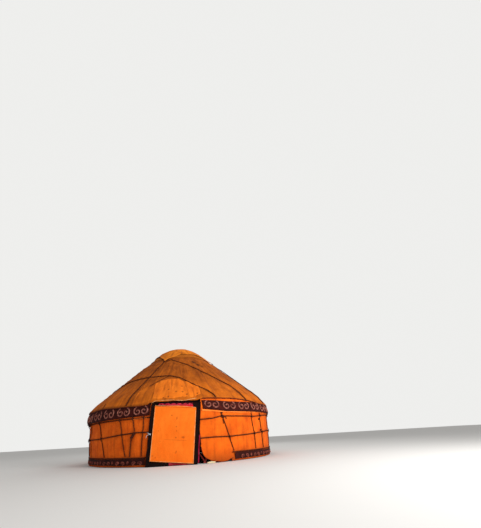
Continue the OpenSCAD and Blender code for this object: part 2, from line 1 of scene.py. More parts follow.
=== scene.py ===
# Round felt tent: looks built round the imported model.
# Metres, +Z up, the doorway looks along -Y. A bearing is measured in degrees from the door's middle
# line, positive to +X. A place on the skin is a bearing b, a distance s up the slope from the
# shoulder's start, and a height d over the skin's reference line. In a sheet's grids f runs from 0
# at its foot to 1 at its head, and g from 0 to 1 along it.
import math

import bpy
import numpy as np
from mathutils import Matrix, Vector


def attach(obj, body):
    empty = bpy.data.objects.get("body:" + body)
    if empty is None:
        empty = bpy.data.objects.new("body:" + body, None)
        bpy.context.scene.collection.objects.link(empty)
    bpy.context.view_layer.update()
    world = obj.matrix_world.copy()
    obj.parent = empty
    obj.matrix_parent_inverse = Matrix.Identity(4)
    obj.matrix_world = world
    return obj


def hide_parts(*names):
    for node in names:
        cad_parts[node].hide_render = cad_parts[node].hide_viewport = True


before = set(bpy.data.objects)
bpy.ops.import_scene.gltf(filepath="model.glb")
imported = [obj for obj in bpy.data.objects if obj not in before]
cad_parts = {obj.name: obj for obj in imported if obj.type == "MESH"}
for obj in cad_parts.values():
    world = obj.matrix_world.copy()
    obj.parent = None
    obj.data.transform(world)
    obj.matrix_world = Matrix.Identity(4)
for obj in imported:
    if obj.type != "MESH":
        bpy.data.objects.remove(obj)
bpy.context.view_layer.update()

# Sizes shared with the part's source
WALL_R = 2.8
SHOULDER_Z = 1.205
SHOULDER_R = 0.67
SLOPE = math.radians(40.4)
CROWN_R = 0.735
COVER_HALF = 0.846
COVER_TURN = -20.0
DOOR_W, DOOR_H, DOOR_LEAN = 1.19, 1.41, 0.133
FRAME_Y = WALL_R - 0.01
FLAP_W, FLAP_T, FLAP_TOP, FLAP_FOOT = 1.0, 0.012, 1.276, 0.026
FLAP_TILT = math.radians(5.5)
HINGE_Y = FRAME_Y + 0.018
FLAP_H = (FLAP_TOP - FLAP_W / 2 * math.sin(FLAP_TILT) - FLAP_FOOT) / math.cos(FLAP_TILT)
POLES, FIRST_POLE = 60, 3
POLE_STEP = 360 / POLES
POLE_OFF = 0.037
FELT_T = 0.012
EDGE_Z = 1.38
GIRTH_R, TIE_R, ROOF_R, BASE_R = 0.012, 0.010, 0.012, 0.012
LATTICE_R, LATTICE_TILT, LATTICE_MID = 2.68628, math.radians(35.54), 0.64

SHOULDER_X = WALL_R - SHOULDER_R
SHOULDER_TURN = math.pi / 2 - SLOPE
ARC = SHOULDER_R * SHOULDER_TURN
KNEE_X = SHOULDER_X + SHOULDER_R * math.cos(SHOULDER_TURN)
KNEE_Z = SHOULDER_Z + SHOULDER_R * math.sin(SHOULDER_TURN)
ROOF_LEN = (KNEE_X - CROWN_R) / math.cos(SLOPE)
CROWN_Z = KNEE_Z + ROOF_LEN * math.sin(SLOPE)
CAP_R = CROWN_R / math.sin(SLOPE)
CAP_Z = CROWN_Z - CAP_R * math.cos(SLOPE)
# Crown ring and its domed bars
RING_R, RING_H = CROWN_R - 0.04, 0.076
RING_Z = CROWN_Z - 0.04934
BAR_STEP = 0.18
BAR_APEX = CAP_Z + CAP_R - 0.024
BAR_RISE = BAR_APEX - RING_Z - RING_H / 2 + 0.01
BAR_ARC = (RING_R ** 2 + BAR_RISE ** 2) / (2 * BAR_RISE)

# Sizes of the cloth and the ropes that only the looks have; the laps' widths are in degrees
BAND_T = 0.005
LAP_T = 0.013
WALL_LAP_B, ROOF_LAP_B = 1.2, 1.3
LOOSE_T = 0.017
SEAMS = (61.2, 109.2, 157.2, 205.2, 253.2, 301.2)
# Lay length of the thick ropes, which is the run of one strand's full turn, and the strands of every rope
ROPE_LAY = 0.075
STRANDS = 3


# The skin's shape

def between(x, table):
    """Straight lines between the rows of a table of pairs."""
    xs, ys = zip(*table)
    return np.interp(x, xs, ys)


def soft_step(x, low, high):
    """0 up to low, 1 from high on, with a smooth rise between."""
    t = np.clip((np.asarray(x, float) - low) / (high - low), 0, 1)
    return t * t * (3 - 2 * t)


def hump(x, width):
    """1 where x is 0, falling to nothing within about twice the width on either side."""
    return np.exp(-(x / width) ** 2)


def signed(b):
    """Bearings brought between -180 and 180."""
    return (np.asarray(b, float) + 180) % 360 - 180


def profile(s, d):
    """Distance from the axis and height of a point s up the skin and d over it."""
    s, d = np.broadcast_arrays(np.asarray(s, float), np.asarray(d, float))
    turn = np.clip(s, 0, ARC) / SHOULDER_R
    along = np.maximum(s - ARC, 0)
    out = SHOULDER_X + (SHOULDER_R + d) * np.cos(turn) - along * math.cos(SLOPE)
    up = SHOULDER_Z + np.minimum(s, 0) + (SHOULDER_R + d) * np.sin(turn) + along * math.sin(SLOPE)
    return out, up


# How far the felts hang out at the eave, by bearing
EAVE_OUT = [(-180, .03), (-120, .05), (-90, .08), (-60, .07), (-35, .03), (-14, 0), (14, 0), (35, .02),
            (60, .035), (90, .045), (180, .03)]
# How far the wall felts draw in at the foot, away from the door
FOOT_IN = 0.038


def stand_off(b, s):
    """How far the felts and bands stand out at the eave and draw in at the foot."""
    turn = signed(b)
    eave = between(turn, EAVE_OUT) * np.exp(-((s - 0.05) / np.where(s < 0.05, 0.2, 0.3)) ** 2)
    return eave - FOOT_IN * soft_step(-s, 0.45, 1.2) * soft_step(np.abs(turn), 12, 30)


def place(b, s, d):
    """World points for bearings b in degrees, distances s and heights d."""
    b, s, d = (np.asarray(v, float) for v in (b, s, d))
    out, up = profile(s, d + stand_off(b, s))
    b = np.radians(b)
    return np.stack(np.broadcast_arrays(out * np.sin(b), -out * np.cos(b), up), -1)


def s_of_z(z):
    """How far up the skin a height lies, on the wall and the shoulder."""
    z = np.asarray(z, float)
    bent = np.arcsin(np.clip((z - SHOULDER_Z) / SHOULDER_R, -1, 1)) * SHOULDER_R
    return np.where(z < SHOULDER_Z, z - SHOULDER_Z, bent)


def s_of_r(r):
    """How far up the skin a distance from the axis lies, on the roof's slope."""
    return ARC + (KNEE_X - np.asarray(r, float)) / math.cos(SLOPE)


def swell(x, y, size, seed, tall=1.0):
    """Uneven waves about size metres long, between about -1.5 and 1.5."""
    rng = np.random.default_rng(seed)
    total = 0
    waves = 8
    for _ in range(waves):
        turn, grow, shift = rng.uniform(0, 2 * math.pi), rng.uniform(0.7, 1.7), rng.uniform(0, 2 * math.pi)
        wave = 2 * math.pi / (size * grow)
        total = total + np.sin(wave * (x * math.cos(turn) + y * math.sin(turn) / tall) + shift)
    return total / math.sqrt(waves)


def between_poles(b):
    """0 at each roof pole and 1 half way to the next."""
    return 0.5 - 0.5 * np.cos(np.radians((b - FIRST_POLE) * POLES))


def door_lean(z):
    """How far the door frame's middle stands to the right at a height."""
    return DOOR_LEAN * (z / DOOR_H - 0.5)


def beside_post(z, side, gap):
    """Bearing at a height z of a line gap metres outside the right post (side 1) or the left one (-1)."""
    return side * np.degrees(np.arcsin((DOOR_W / 2 + gap + side * door_lean(z)) / WALL_R))


# Courses of the ropes, as in the part's source: bearing and height, or bearing and distance from the
# axis; the roof ropes go on here to the eave

GIRTH_WAY = [(12, .553), (20.6, .564), (28, .558), (41.4, .582), (68, .664), (100, .672), (150, .655),
             (200, .665), (250, .655), (290, .655), (315, .666), (331, .727), (341, .759), (349, .750)]
UPPER_WAY = [(12, .972), (19.6, .994), (24.3, 1.040), (48.4, 1.030), (65, 1.090), (110, 1.065),
             (180, 1.050), (250, 1.066), (300, 1.058), (331, 1.080), (349, 1.090)]
# Bearings of each tie's upper and lower end
TIES = [(24.2, 31), (46, 48.4), (55, 57.6), (70, 73), (88, 90), (98, 101), (113, 110), (128, 131),
        (144, 142), (160, 163), (177, 174), (193, 196), (209, 206), (224, 227), (240, 237), (256, 259),
        (272, 270), (287, 290), (300, 298), (313.2, 319), (330.4, 334.6), (338.6, 337.4), (344.9, 343.9)]
TIE_TOP = 1.138
BASE_ROPE_Z = 0.200
# The tie with the wound end is pulled aside at the girth: height and bearing
PULLED_TIE = 21
PULLED_WAY = [(.228, 337.3), (.62, 338.1), (.70, 339.3), (.77, 340.1), (.90, 339.5), (1.138, 338.7)]
CORNER_WAY = [(0, 1.220), (-2.4, 1.774), (-4.6, 2.349), (-5.4, 2.72), (-5.6, 2.853)]
SPIRAL_WAY = [(-17.5, 1.205), (-9.5, 1.130), (13.3, 1.434), (23.2, 1.713), (28.9, 1.852), (41.5, 2.339),
              (42.8, 2.72), (43, 2.853)]
ARC_WAY = [(-86, 2.853), (-82, 2.62), (-70, 2.20), (-52, 1.985), (-34.7, 1.924), (-5, 1.939), (3.7, 2.043),
           (18.8, 2.540), (21.9, 2.72), (22.5, 2.853)]
THIN_WAY = [(-16.9, 2.320), (-14.4, 2.213), (-11, 2.109), (-6.1, 1.983)]


def smooth_course(knots, count):
    """Evenly spread rows along a table of rows, rounded a little at its corners."""
    knots = np.array(knots, float)
    far = np.linspace(0, len(knots) - 1, count)
    rows = np.stack([np.interp(far, range(len(knots)), knots[:, k]) for k in range(knots.shape[1])], 1)
    for _ in range(max(1, count // (len(knots) * 4))):
        rows[1:-1] = (rows[:-2] + 2 * rows[1:-1] + rows[2:]) / 4
    return rows


def roof_course(start, way, count=120):
    """A roof rope's course, from rows of bearing past its start and distance from the axis."""
    return smooth_course([(start + b, float(s_of_r(r))) for b, r in way], count)


def rope_courses():
    """Each rope's name, and its course as rows of bearing and s."""
    found = {}
    for key, way, b0, b1 in (("girth_middle", GIRTH_WAY, 12.4, 347.4),
                             ("girth_upper", UPPER_WAY, 13.2, 348.1)):
        turn = np.linspace(b0, b1, 900)
        found[key] = np.stack([turn, between(turn, way) - SHOULDER_Z], 1)
    low = np.linspace(30, 346.4, 800)
    found["base"] = np.stack([low, np.full_like(low, BASE_ROPE_Z - SHOULDER_Z)], 1)
    for i, (top, foot) in enumerate(TIES):
        f = np.linspace(0, 1, 60)
        z = TIE_TOP + (BASE_ROPE_Z + 0.028 - TIE_TOP) * f
        sway = 0.15 * np.sin(f * math.pi * 2) * (-1) ** i
        found[f"tie_{i}"] = np.stack([top + (foot - top) * f + sway, z - SHOULDER_Z], 1)
    pulled = found[f"tie_{PULLED_TIE}"]
    pulled[:, 0] = between(pulled[:, 1] + SHOULDER_Z, PULLED_WAY)
    for k in range(4):
        found[f"corner_{k}"] = roof_course(COVER_TURN + 90 * k, CORNER_WAY)
    for k in range(2):
        found[f"spiral_{k}"] = roof_course(180 * k, SPIRAL_WAY, 160)
        found[f"arc_{k}"] = roof_course(180 * k, ARC_WAY, 160)
    return found


COURSES = rope_courses()


def lap_step(b):
    """Height of the lap where one wall felt lies over the next."""
    total = 0
    for seam in SEAMS:
        gap = signed(np.asarray(b, float) - seam)
        total = total + soft_step(gap, -5, -1.5) * (1 - soft_step(gap, 0.0, 2.5))
    return LAP_T * total


def front_layer(b):
    """Height of the loose front felt, which lies over the felts beside it."""
    turn = signed(b)
    return LOOSE_T * soft_step(turn, 11.0, 12.0) * (1 - soft_step(turn, 31.2, 33.0))


def wall_top(b):
    """Height of the wall felts' outer side under bands and ropes."""
    return lap_step(b) + front_layer(b)


def roof_lap(b):
    """Height of the lap where one roof felt lies over the next."""
    gap = (np.asarray(b, float) - 23.8 + 22.5) % 45 - 22.5
    return LAP_T * soft_step(gap, -7, -2.5) * (1 - soft_step(gap, 0.0, 0.4))


def hem_roll(b, up, lift, reach):
    """Height of the roof felts' rolled hem, up metres above its edge, lifted over the eave band and the
    wall felts' laps."""
    roll = 0.010 * hump(up - 0.018, 0.02) + lift * (1 - soft_step(up, 0.02, reach))
    return roll + wall_top(b) * (1 - soft_step(up, 0.03, 0.25))


def near_rope(b, s):
    """Distance in metres from points of the skin to the nearest rope."""
    out, _ = profile(s, 0)
    best = np.full(b.shape, 9.0)
    for course in COURSES.values():
        turn = signed(course[:, 0])
        for i in range(0, len(course), 2):
            gap = signed(b - turn[i])
            close = np.abs(gap) < 3.5
            if close.any():
                d = np.hypot(np.radians(gap[close]) * out[close], s[close] - course[i, 1])
                best[close] = np.minimum(best[close], d)
    return best


# Colours, nodes and materials

def paint(code):
    """An sRGB hex colour as linear numbers."""
    parts = [int(code[i:i + 2], 16) / 255 for i in (1, 3, 5)]
    return tuple(c / 12.92 if c <= 0.04045 else ((c + 0.055) / 1.055) ** 2.4 for c in parts) + (1.0,)


def add(tree, kind, sockets=None, ramp=None, **settings):
    """Adds a node, with its settings, its values and its links."""
    made = tree.nodes.new(kind)
    for key, value in settings.items():
        setattr(made, key, value)
    if ramp:
        band = made.color_ramp
        while len(band.elements) < len(ramp):
            band.elements.new(0.5)
        for element, (at, colour) in zip(band.elements, ramp):
            element.position, element.color = at, paint(colour)
    for key, value in (sockets or {}).items():
        if isinstance(value, bpy.types.Node):
            value = value.outputs[0]
        if isinstance(value, bpy.types.NodeSocket):
            tree.links.new(value, made.inputs[key])
        else:
            made.inputs[key].default_value = value
    return made


def finish(name, **constants):
    """An empty material with its shader, whose even values are set on the shader itself."""
    material = bpy.data.materials.new(name)
    material.use_nodes = True
    tree = material.node_tree
    shader = tree.nodes["Principled BSDF"]
    for key, value in constants.items():
        shader.inputs[key.replace("_", " ")].default_value = value
    return material, tree, shader


def wool_felt(name, ground, worn, stain, runs=0.5, splash=0.0, dark=None):
    """Rolled wool felt: matt and hairy, blotched by wetting, streaked by rain, muddy near the ground."""
    material, tree, shader = finish(name, Roughness=0.95, Specular_IOR_Level=0.15)
    cloth = add(tree, "ShaderNodeUVMap", uv_map="cloth")
    blotch = add(tree, "ShaderNodeTexNoise", {"Vector": cloth, "Scale": 2.3, "Detail": 5.0,
                                              "Roughness": 0.62})
    tone = add(tree, "ShaderNodeValToRGB", {0: blotch}, ramp=[(0.32, worn), (0.62, ground)])
    long_way = add(tree, "ShaderNodeMapping", {"Vector": cloth, "Scale": (11.0, 0.9, 1.0)})
    rain = add(tree, "ShaderNodeTexNoise", {"Vector": long_way, "Scale": 1.0, "Detail": 4.0,
                                            "Roughness": 0.6})
    streak = add(tree, "ShaderNodeMapRange", {0: rain, 1: 0.5, 2: 0.78, 3: 0.0, 4: runs})
    run_off = add(tree, "ShaderNodeMix", {0: streak, 6: tone, 7: paint(stain)}, data_type="RGBA")
    # Tufts of wool about 6 mm long
    tuft = add(tree, "ShaderNodeTexNoise", {"Vector": cloth, "Scale": 150.0, "Detail": 3.0,
                                            "Roughness": 0.7})
    fleck = add(tree, "ShaderNodeMapRange", {0: tuft, 1: 0.3, 2: 0.7, 3: 0.82, 4: 1.14})
    wool = add(tree, "ShaderNodeVectorMath", {0: run_off.outputs[2], "Scale": fleck}, operation="SCALE")
    # Round stains a few centimetres wide, about three to a metre
    spots_at = add(tree, "ShaderNodeTexVoronoi", {"Vector": cloth, "Scale": 3.1, "Randomness": 1.0})
    spot = add(tree, "ShaderNodeMapRange", {0: spots_at, 1: 0.035, 2: 0.06, 3: 0.55, 4: 0.0})
    spotted = add(tree, "ShaderNodeMix", {0: spot, 6: wool, 7: paint(stain)}, data_type="RGBA")
    # Dirt, holes, darker patches and painted shade along the ropes, in the roof's hem and at the felt
    # layers' ends, all painted on the mesh
    mark = add(tree, "ShaderNodeAttribute", attribute_name="mark")
    patchy = add(tree, "ShaderNodeTexNoise", {"Vector": cloth, "Scale": 34.0, "Detail": 4.0})
    uneven = add(tree, "ShaderNodeMapRange", {0: patchy, 1: 0.3, 2: 0.6, 3: 0.7, 4: 1.15})
    soil_and_shade = add(tree, "ShaderNodeMath", {0: mark.outputs["Fac"], 1: uneven}, operation="MULTIPLY",
               use_clamp=True)
    colour = add(tree, "ShaderNodeMix", {0: soil_and_shade, 6: spotted.outputs[2], 7: paint(dark or stain)},
                 data_type="RGBA")
    if splash:
        where = add(tree, "ShaderNodeTexCoord")
        parts = add(tree, "ShaderNodeSeparateXYZ", {0: where.outputs["Object"]})
        low = add(tree, "ShaderNodeMapRange", {0: parts.outputs[2], 1: 0.32, 2: 0.0, 3: 0.0, 4: splash})
        mud = add(tree, "ShaderNodeMath", {0: low, 1: blotch}, operation="MULTIPLY")
        colour = add(tree, "ShaderNodeMix", {0: mud, 6: colour.outputs[2], 7: paint(stain)},
                     data_type="RGBA")
    tree.links.new(colour.outputs[2], shader.inputs["Base Color"])
    lumps = add(tree, "ShaderNodeTexNoise", {"Vector": cloth, "Scale": 26.0, "Detail": 4.0})
    rough = add(tree, "ShaderNodeBump", {"Height": lumps, "Strength": 0.35, "Distance": 0.012})
    hairy = add(tree, "ShaderNodeBump", {"Height": tuft, "Strength": 0.3, "Distance": 0.003,
                                         "Normal": rough})
    tree.links.new(hairy.outputs[0], shader.inputs["Normal"])
    return material


def inside_felt():
    """The felt's smoky inner side: dark brown, matt, sooty in patches."""
    material, tree, shader = finish("felt_inside_smoked", Roughness=0.97, Specular_IOR_Level=0.1)
    cloth = add(tree, "ShaderNodeUVMap", uv_map="cloth")
    soot = add(tree, "ShaderNodeTexNoise", {"Vector": cloth, "Scale": 4.0, "Detail": 6.0,
                                            "Roughness": 0.65})
    tone = add(tree, "ShaderNodeValToRGB", {0: soot}, ramp=[(0.3, "#3A2416"), (0.7, "#6B4526")])
    tree.links.new(tone.outputs[0], shader.inputs["Base Color"])
    wool = add(tree, "ShaderNodeTexNoise", {"Vector": cloth, "Scale": 120.0, "Detail": 3.0})
    hairy = add(tree, "ShaderNodeBump", {"Height": wool, "Strength": 0.4, "Distance": 0.004})
    tree.links.new(hairy.outputs[0], shader.inputs["Normal"])
    return material


def painted_wood(name, coat, faded, bare, gloss=0.4):
    """Milk-painted willow: brush-marked, faded, worn to bare wood where hands and ropes rub it."""
    material, tree, shader = finish(name, Roughness=0.62, IOR=1.48, Specular_IOR_Level=gloss)
    where = add(tree, "ShaderNodeTexCoord").outputs["Object"]
    fade = add(tree, "ShaderNodeTexNoise", {"Vector": where, "Scale": 5.0, "Detail": 5.0})
    tone = add(tree, "ShaderNodeValToRGB", {0: fade}, ramp=[(0.35, faded), (0.65, coat)])
    # Brush and grain marks about 11 mm long
    grain = add(tree, "ShaderNodeTexNoise", {"Vector": where, "Scale": 90.0, "Detail": 4.0,
                                             "Roughness": 0.7})
    rub = add(tree, "ShaderNodeMapRange", {0: grain, 1: 0.6, 2: 0.72, 3: 0.0, 4: 0.6})
    colour = add(tree, "ShaderNodeMix", {0: rub, 6: tone, 7: paint(bare)}, data_type="RGBA")
    tree.links.new(colour.outputs[2], shader.inputs["Base Color"])
    dull = add(tree, "ShaderNodeMapRange", {0: grain, 3: 0.5, 4: 0.8})
    tree.links.new(dull.outputs[0], shader.inputs["Roughness"])
    marks = add(tree, "ShaderNodeBump", {"Height": grain, "Strength": 0.25, "Distance": 0.0015})
    tree.links.new(marks.outputs[0], shader.inputs["Normal"])
    return material


def pole_wood():
    """Painted pole whose slim upper end is left bare."""
    material = painted_wood("pole_willow_red_paint", "#A5271A", "#7E1A12", "#C98B55")
    tree = material.node_tree
    shader = tree.nodes["Principled BSDF"]
    painted = shader.inputs["Base Color"].links[0].from_socket
    where = add(tree, "ShaderNodeTexCoord").outputs["Object"]
    flat = add(tree, "ShaderNodeVectorMath", {0: where, 1: (1.0, 1.0, 0.0)}, operation="MULTIPLY")
    far = add(tree, "ShaderNodeVectorMath", {0: flat}, operation="LENGTH")
    # The paint ends 0.62 m or more from the axis, at another length on each pole
    turn = add(tree, "ShaderNodeTexNoise", {"Vector": where, "Scale": 0.9, "Detail": 1.0})
    edge = add(tree, "ShaderNodeMath", {0: turn, 1: 0.55, 2: 0.62}, operation="MULTIPLY_ADD")
    inside = add(tree, "ShaderNodeMath", {0: far.outputs["Value"], 1: edge}, operation="SUBTRACT")
    bare = add(tree, "ShaderNodeMapRange", {0: inside, 1: 0.0, 2: -0.02, 3: 0.0, 4: 0.85})
    colour = add(tree, "ShaderNodeMix", {0: bare, 6: painted, 7: paint("#C99A4E")}, data_type="RGBA")
    tree.links.new(colour.outputs[2], shader.inputs["Base Color"])
    return material


def hair_rope(name, dark, light):
    """Rope laid up from goat and horse hair: matt, dark, with paler hairs standing off."""
    material, tree, shader = finish(name, Roughness=0.9, Specular_IOR_Level=0.2)
    where = add(tree, "ShaderNodeTexCoord").outputs["Object"]
    hairs = add(tree, "ShaderNodeTexNoise", {"Vector": where, "Scale": 160.0, "Detail": 4.0,
                                             "Roughness": 0.75})
    tone = add(tree, "ShaderNodeValToRGB", {0: hairs}, ramp=[(0.35, dark), (0.72, light)])
    tree.links.new(tone.outputs[0], shader.inputs["Base Color"])
    hairy = add(tree, "ShaderNodeBump", {"Height": hairs, "Strength": 0.5, "Distance": 0.002})
    tree.links.new(hairy.outputs[0], shader.inputs["Normal"])
    return material


def woven_band(name, ground, accent, thread=0.004, bright=None):
    """Warp-faced wool band: fine ribs across, worn pale on the high threads, bright where it is marked."""
    material, tree, shader = finish(name, Roughness=0.9, Specular_IOR_Level=0.15)
    cloth = add(tree, "ShaderNodeUVMap", uv_map="cloth")
    blotch = add(tree, "ShaderNodeTexNoise", {"Vector": cloth, "Scale": 7.0, "Detail": 5.0})
    tone = add(tree, "ShaderNodeValToRGB", {0: blotch}, ramp=[(0.38, ground), (0.75, accent)])
    # Threads 4 to 6 mm apart, coarser than real ones so that they show; a wave is 0.314 units long
    ribs = add(tree, "ShaderNodeTexWave", {"Vector": cloth, "Scale": 0.314 / thread, "Distortion": 1.2,
                                           "Detail": 2.0}, bands_direction="Y").outputs["Fac"]
    shade = add(tree, "ShaderNodeMapRange", {0: ribs, 3: 0.72, 4: 1.12})
    if bright:
        mark = add(tree, "ShaderNodeAttribute", attribute_name="mark")
        dyed = add(tree, "ShaderNodeMix", {0: mark.outputs["Fac"], 6: tone, 7: paint(bright)},
                   data_type="RGBA")
        tone = dyed.outputs[2]
    wool = add(tree, "ShaderNodeVectorMath", {0: tone, "Scale": shade}, operation="SCALE")
    tree.links.new(wool.outputs[0], shader.inputs["Base Color"])
    weave = add(tree, "ShaderNodeBump", {"Height": ribs, "Strength": 0.4, "Distance": 0.0015})
    tree.links.new(weave.outputs[0], shader.inputs["Normal"])
    return material


def applique(name, colour, worn):
    """Couched wool cord sewn on felt: dull, lightly worn."""
    material, tree, shader = finish(name, Roughness=0.88, Specular_IOR_Level=0.2)
    where = add(tree, "ShaderNodeTexCoord").outputs["Object"]
    rub = add(tree, "ShaderNodeTexNoise", {"Vector": where, "Scale": 14.0, "Detail": 5.0})
    tone = add(tree, "ShaderNodeValToRGB", {0: rub}, ramp=[(0.36, worn), (0.62, colour)])
    tree.links.new(tone.outputs[0], shader.inputs["Base Color"])
    ply = add(tree, "ShaderNodeTexNoise", {"Vector": where, "Scale": 220.0, "Detail": 2.0})
    soft = add(tree, "ShaderNodeBump", {"Height": ply, "Strength": 0.4, "Distance": 0.002})
    tree.links.new(soft.outputs[0], shader.inputs["Normal"])
    return material


def plain_ground(name, colour):
    """Even, dull ground."""
    material, _, shader = finish(name, Roughness=0.95)
    shader.inputs["Base Color"].default_value = paint(colour)
    return material


FINISH = {
    # The orange in these felt colours is painted lamp light, not the felts' own colour.
    "wall": wool_felt("felt_wall_rolled_wool", "#F06A12", "#CC500A", "#722C08", runs=0.45, splash=1.3),
    "roof": wool_felt("felt_roof_rolled_wool", "#D06A12", "#A04C0C", "#4A2208", runs=0.65),
    "panel": wool_felt("felt_panel_newer_wool", "#F07C1C", "#DC6A12", "#843C0A", runs=0.3, dark="#4A1C06"),
    "crown": wool_felt("felt_crown_rolled_wool", "#F08820", "#CC6A10", "#6A320C", runs=0.3),
    "flap": wool_felt("felt_flap_pressed_wool", "#FF7C1E", "#F46C12", "#B0480A", runs=0.2, splash=0.4,
                      dark="#8A3408"),
    # Paler felt, also used for a painted highlight under the eave band left of the door
    "pale_felt_and_highlight": wool_felt("felt_strip_paler_wool_and_highlight", "#FF8A38", "#F0701C", "#A8500F", runs=0.1),
    "inside": inside_felt(),
    "hem": applique("hem_pale_wool_binding", "#EDB47A", "#CC8444"),
    # Dark red binding, also used as painted shade under the roof's hem
    "dark_hem_and_shade": applique("hem_dark_red_binding_and_shade", "#5C1812", "#380E0A"),
    "rope": hair_rope("rope_goat_hair_brown", "#2A0A05", "#5E2A12"),
    "inner_rope": hair_rope("rope_goat_hair_black", "#120A07", "#37231A"),
    "white_cord": hair_rope("cord_white_cotton", "#AEB9C8", "#F2F4F6"),
    "eave_band": woven_band("band_eave_dark_felt", "#2E0A06", "#50160D"),
    "base_band": woven_band("band_foot_dark_felt", "#280A07", "#46140C"),
    "scroll": applique("cord_applique_pink", "#BC7866", "#74362C"),
    "foot_scroll": applique("cord_applique_dull_red", "#985040", "#54221C"),
    # The door timber's near-black is painted shade over its dark maroon paint.
    "door_frame": painted_wood("door_timber_dark_paint_and_shade", "#1A0806", "#0E0504", "#381A0E", gloss=0.08),
    "lattice": painted_wood("lattice_willow_red_paint", "#9C2418", "#6E1811", "#B57B4C"),
    "pole": pole_wood(),
    "crown_wood": painted_wood("crown_birch_red_paint", "#8E1C14", "#66120E", "#A9663C"),
    "strip": woven_band("strip_woven_dark_red", "#3A080E", "#66121A", 0.006, "#E01C28"),
    "sill_strip": woven_band("strip_woven_red", "#741018", "#B43444", 0.006),
    "strip_pink": applique("cord_applique_rose", "#F84460", "#CC2E44"),
    "binding": woven_band("band_woven_crimson", "#8E0F2C", "#B82A4C", 0.005),
    "pole_band": woven_band("band_poles_woven_red", "#A31C22", "#D4626A", 0.005),
    "tassel": applique("tassel_red_wool", "#C22A2A", "#7E1818"),
    "rawhide": applique("rawhide_dry", "#6A4A2C", "#3A2414"),
    "scrap": wool_felt("felt_scrap_white_wool", "#E0CFA8", "#B79E72", "#80643E", runs=0.2),
}


# Making pieces

def to_piece(name, mesh, material, body="tent", nodes=()):
    """A finished mesh as a piece that rides on a body and stands for CAD nodes."""
    piece = bpy.data.objects.new(name, mesh)
    bpy.context.scene.collection.objects.link(piece)
    for one in material if isinstance(material, (list, tuple)) else [material]:
        if one.name not in mesh.materials:
            mesh.materials.append(one)
    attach(piece, body)
    if nodes:
        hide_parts(*([nodes] if isinstance(nodes, str) else nodes))
    return piece


def pad(values):
    """A grid with its outermost values repeated once on every side."""
    return np.pad(values, 1, mode="edge")


def cloth_faces(rows, cols, swap):
    """Faces of a closed sheet between an inner grid and an outer one that is two points wider each way, and
    a list that holds 1 for each face of the inner side and the rim."""
    wide = cols + 2
    count = (rows + 2) * wide
    faces, kind = [], []

    def outer(i, j):
        return i * wide + j

    def inner(i, j):
        return count + i * cols + j

    def quad(a, c, e, g, inside):
        faces.append((a, g, e, c) if swap else (a, c, e, g))
        kind.append(inside)

    for i in range(rows + 1):
        for j in range(cols + 1):
            quad(outer(i, j), outer(i, j + 1), outer(i + 1, j + 1), outer(i + 1, j), 0)
    for i in range(rows - 1):
        for j in range(cols - 1):
            quad(inner(i, j), inner(i + 1, j), inner(i + 1, j + 1), inner(i, j + 1), 1)
    for j in range(cols - 1):
        quad(outer(0, j + 1), inner(0, j), inner(0, j + 1), outer(0, j + 2), 1)
        quad(outer(rows + 1, j + 2), inner(rows - 1, j + 1), inner(rows - 1, j), outer(rows + 1, j + 1), 1)
    for i in range(rows - 1):
        quad(outer(i + 2, 0), inner(i + 1, 0), inner(i, 0), outer(i + 1, 0), 1)
        quad(outer(i + 1, wide - 1), inner(i, cols - 1), inner(i + 1, cols - 1), outer(i + 2, wide - 1), 1)
    for i, j in ((0, 0), (0, cols - 1), (rows - 1, 0), (rows - 1, cols - 1)):
        end_i, end_j = (0 if i == 0 else rows + 1), (0 if j == 0 else wide - 1)
        next_i, next_j = (1 if i == 0 else rows), (1 if j == 0 else cols)
        loop = (outer(end_i, end_j), outer(next_i, end_j), inner(i, j), outer(end_i, next_j))
        quad(*(loop[::-1] if (i == 0) != (j == 0) else loop), 1)
    return faces, kind


def cloth_mesh(name, b, s, d, thick, spot=None, mark=None):
    """A closed sheet from grids of bearing, s and outer height, with a rounded rim and a metre UV map.
    spot turns grid values into world points where the sheet isn't laid on the tent's skin, and mark holds
    how far each point is marked by dirt, dye and painted shade, from 0 to 1."""
    spot = spot or place
    way_b = np.sign(b[0, -1] - b[0, 0]) or 1
    way_s = np.sign(s[-1, 0] - s[0, 0]) or 1
    half = thick / 2
    big_b, big_s, big_d = pad(b), pad(s), pad(d)
    if spot is place:
        step = np.degrees(half / np.maximum(pad(profile(s, d)[0]), 0.3)) * way_b
        scale = WALL_R * math.pi / 180
    else:
        step = np.full_like(big_b, half * way_b)
        scale = 1.0
    # The outer grid goes half the thickness past the inner one, and its rim lies half the thickness lower
    big_b[:, 0] -= step[:, 0]
    big_b[:, -1] += step[:, -1]
    big_s[0] -= half * way_s
    big_s[-1] += half * way_s
    rim = np.ones_like(big_d, bool)
    rim[1:-1, 1:-1] = False
    big_d = np.where(rim, big_d - half, big_d)
    outer = spot(big_b, big_s, big_d).reshape(-1, 3)
    inner = spot(b, s, d - thick).reshape(-1, 3)
    flat = np.concatenate([np.stack([big_b.ravel() * scale, big_s.ravel()], 1),
                           np.stack([b.ravel() * scale, s.ravel()], 1)])
    faces, kind = cloth_faces(*b.shape, way_b * way_s < 0)
    mesh = bpy.data.meshes.new(name)
    mesh.from_pydata(np.concatenate([outer, inner]).tolist(), [], faces)
    layer = mesh.uv_layers.new(name="cloth")
    loops = np.zeros(len(mesh.loops), int)
    mesh.loops.foreach_get("vertex_index", loops)
    layer.data.foreach_set("uv", flat[loops].ravel())
    mesh.polygons.foreach_set("use_smooth", [True] * len(mesh.polygons))
    mesh.polygons.foreach_set("material_index", kind)
    if mark is not None:
        layer = mesh.attributes.new("mark", "FLOAT", "POINT")
        marks = np.concatenate([pad(mark).ravel(), np.zeros(b.size)])
        layer.data.foreach_set("value", marks.astype(np.float32))
    mesh.update()
    return mesh


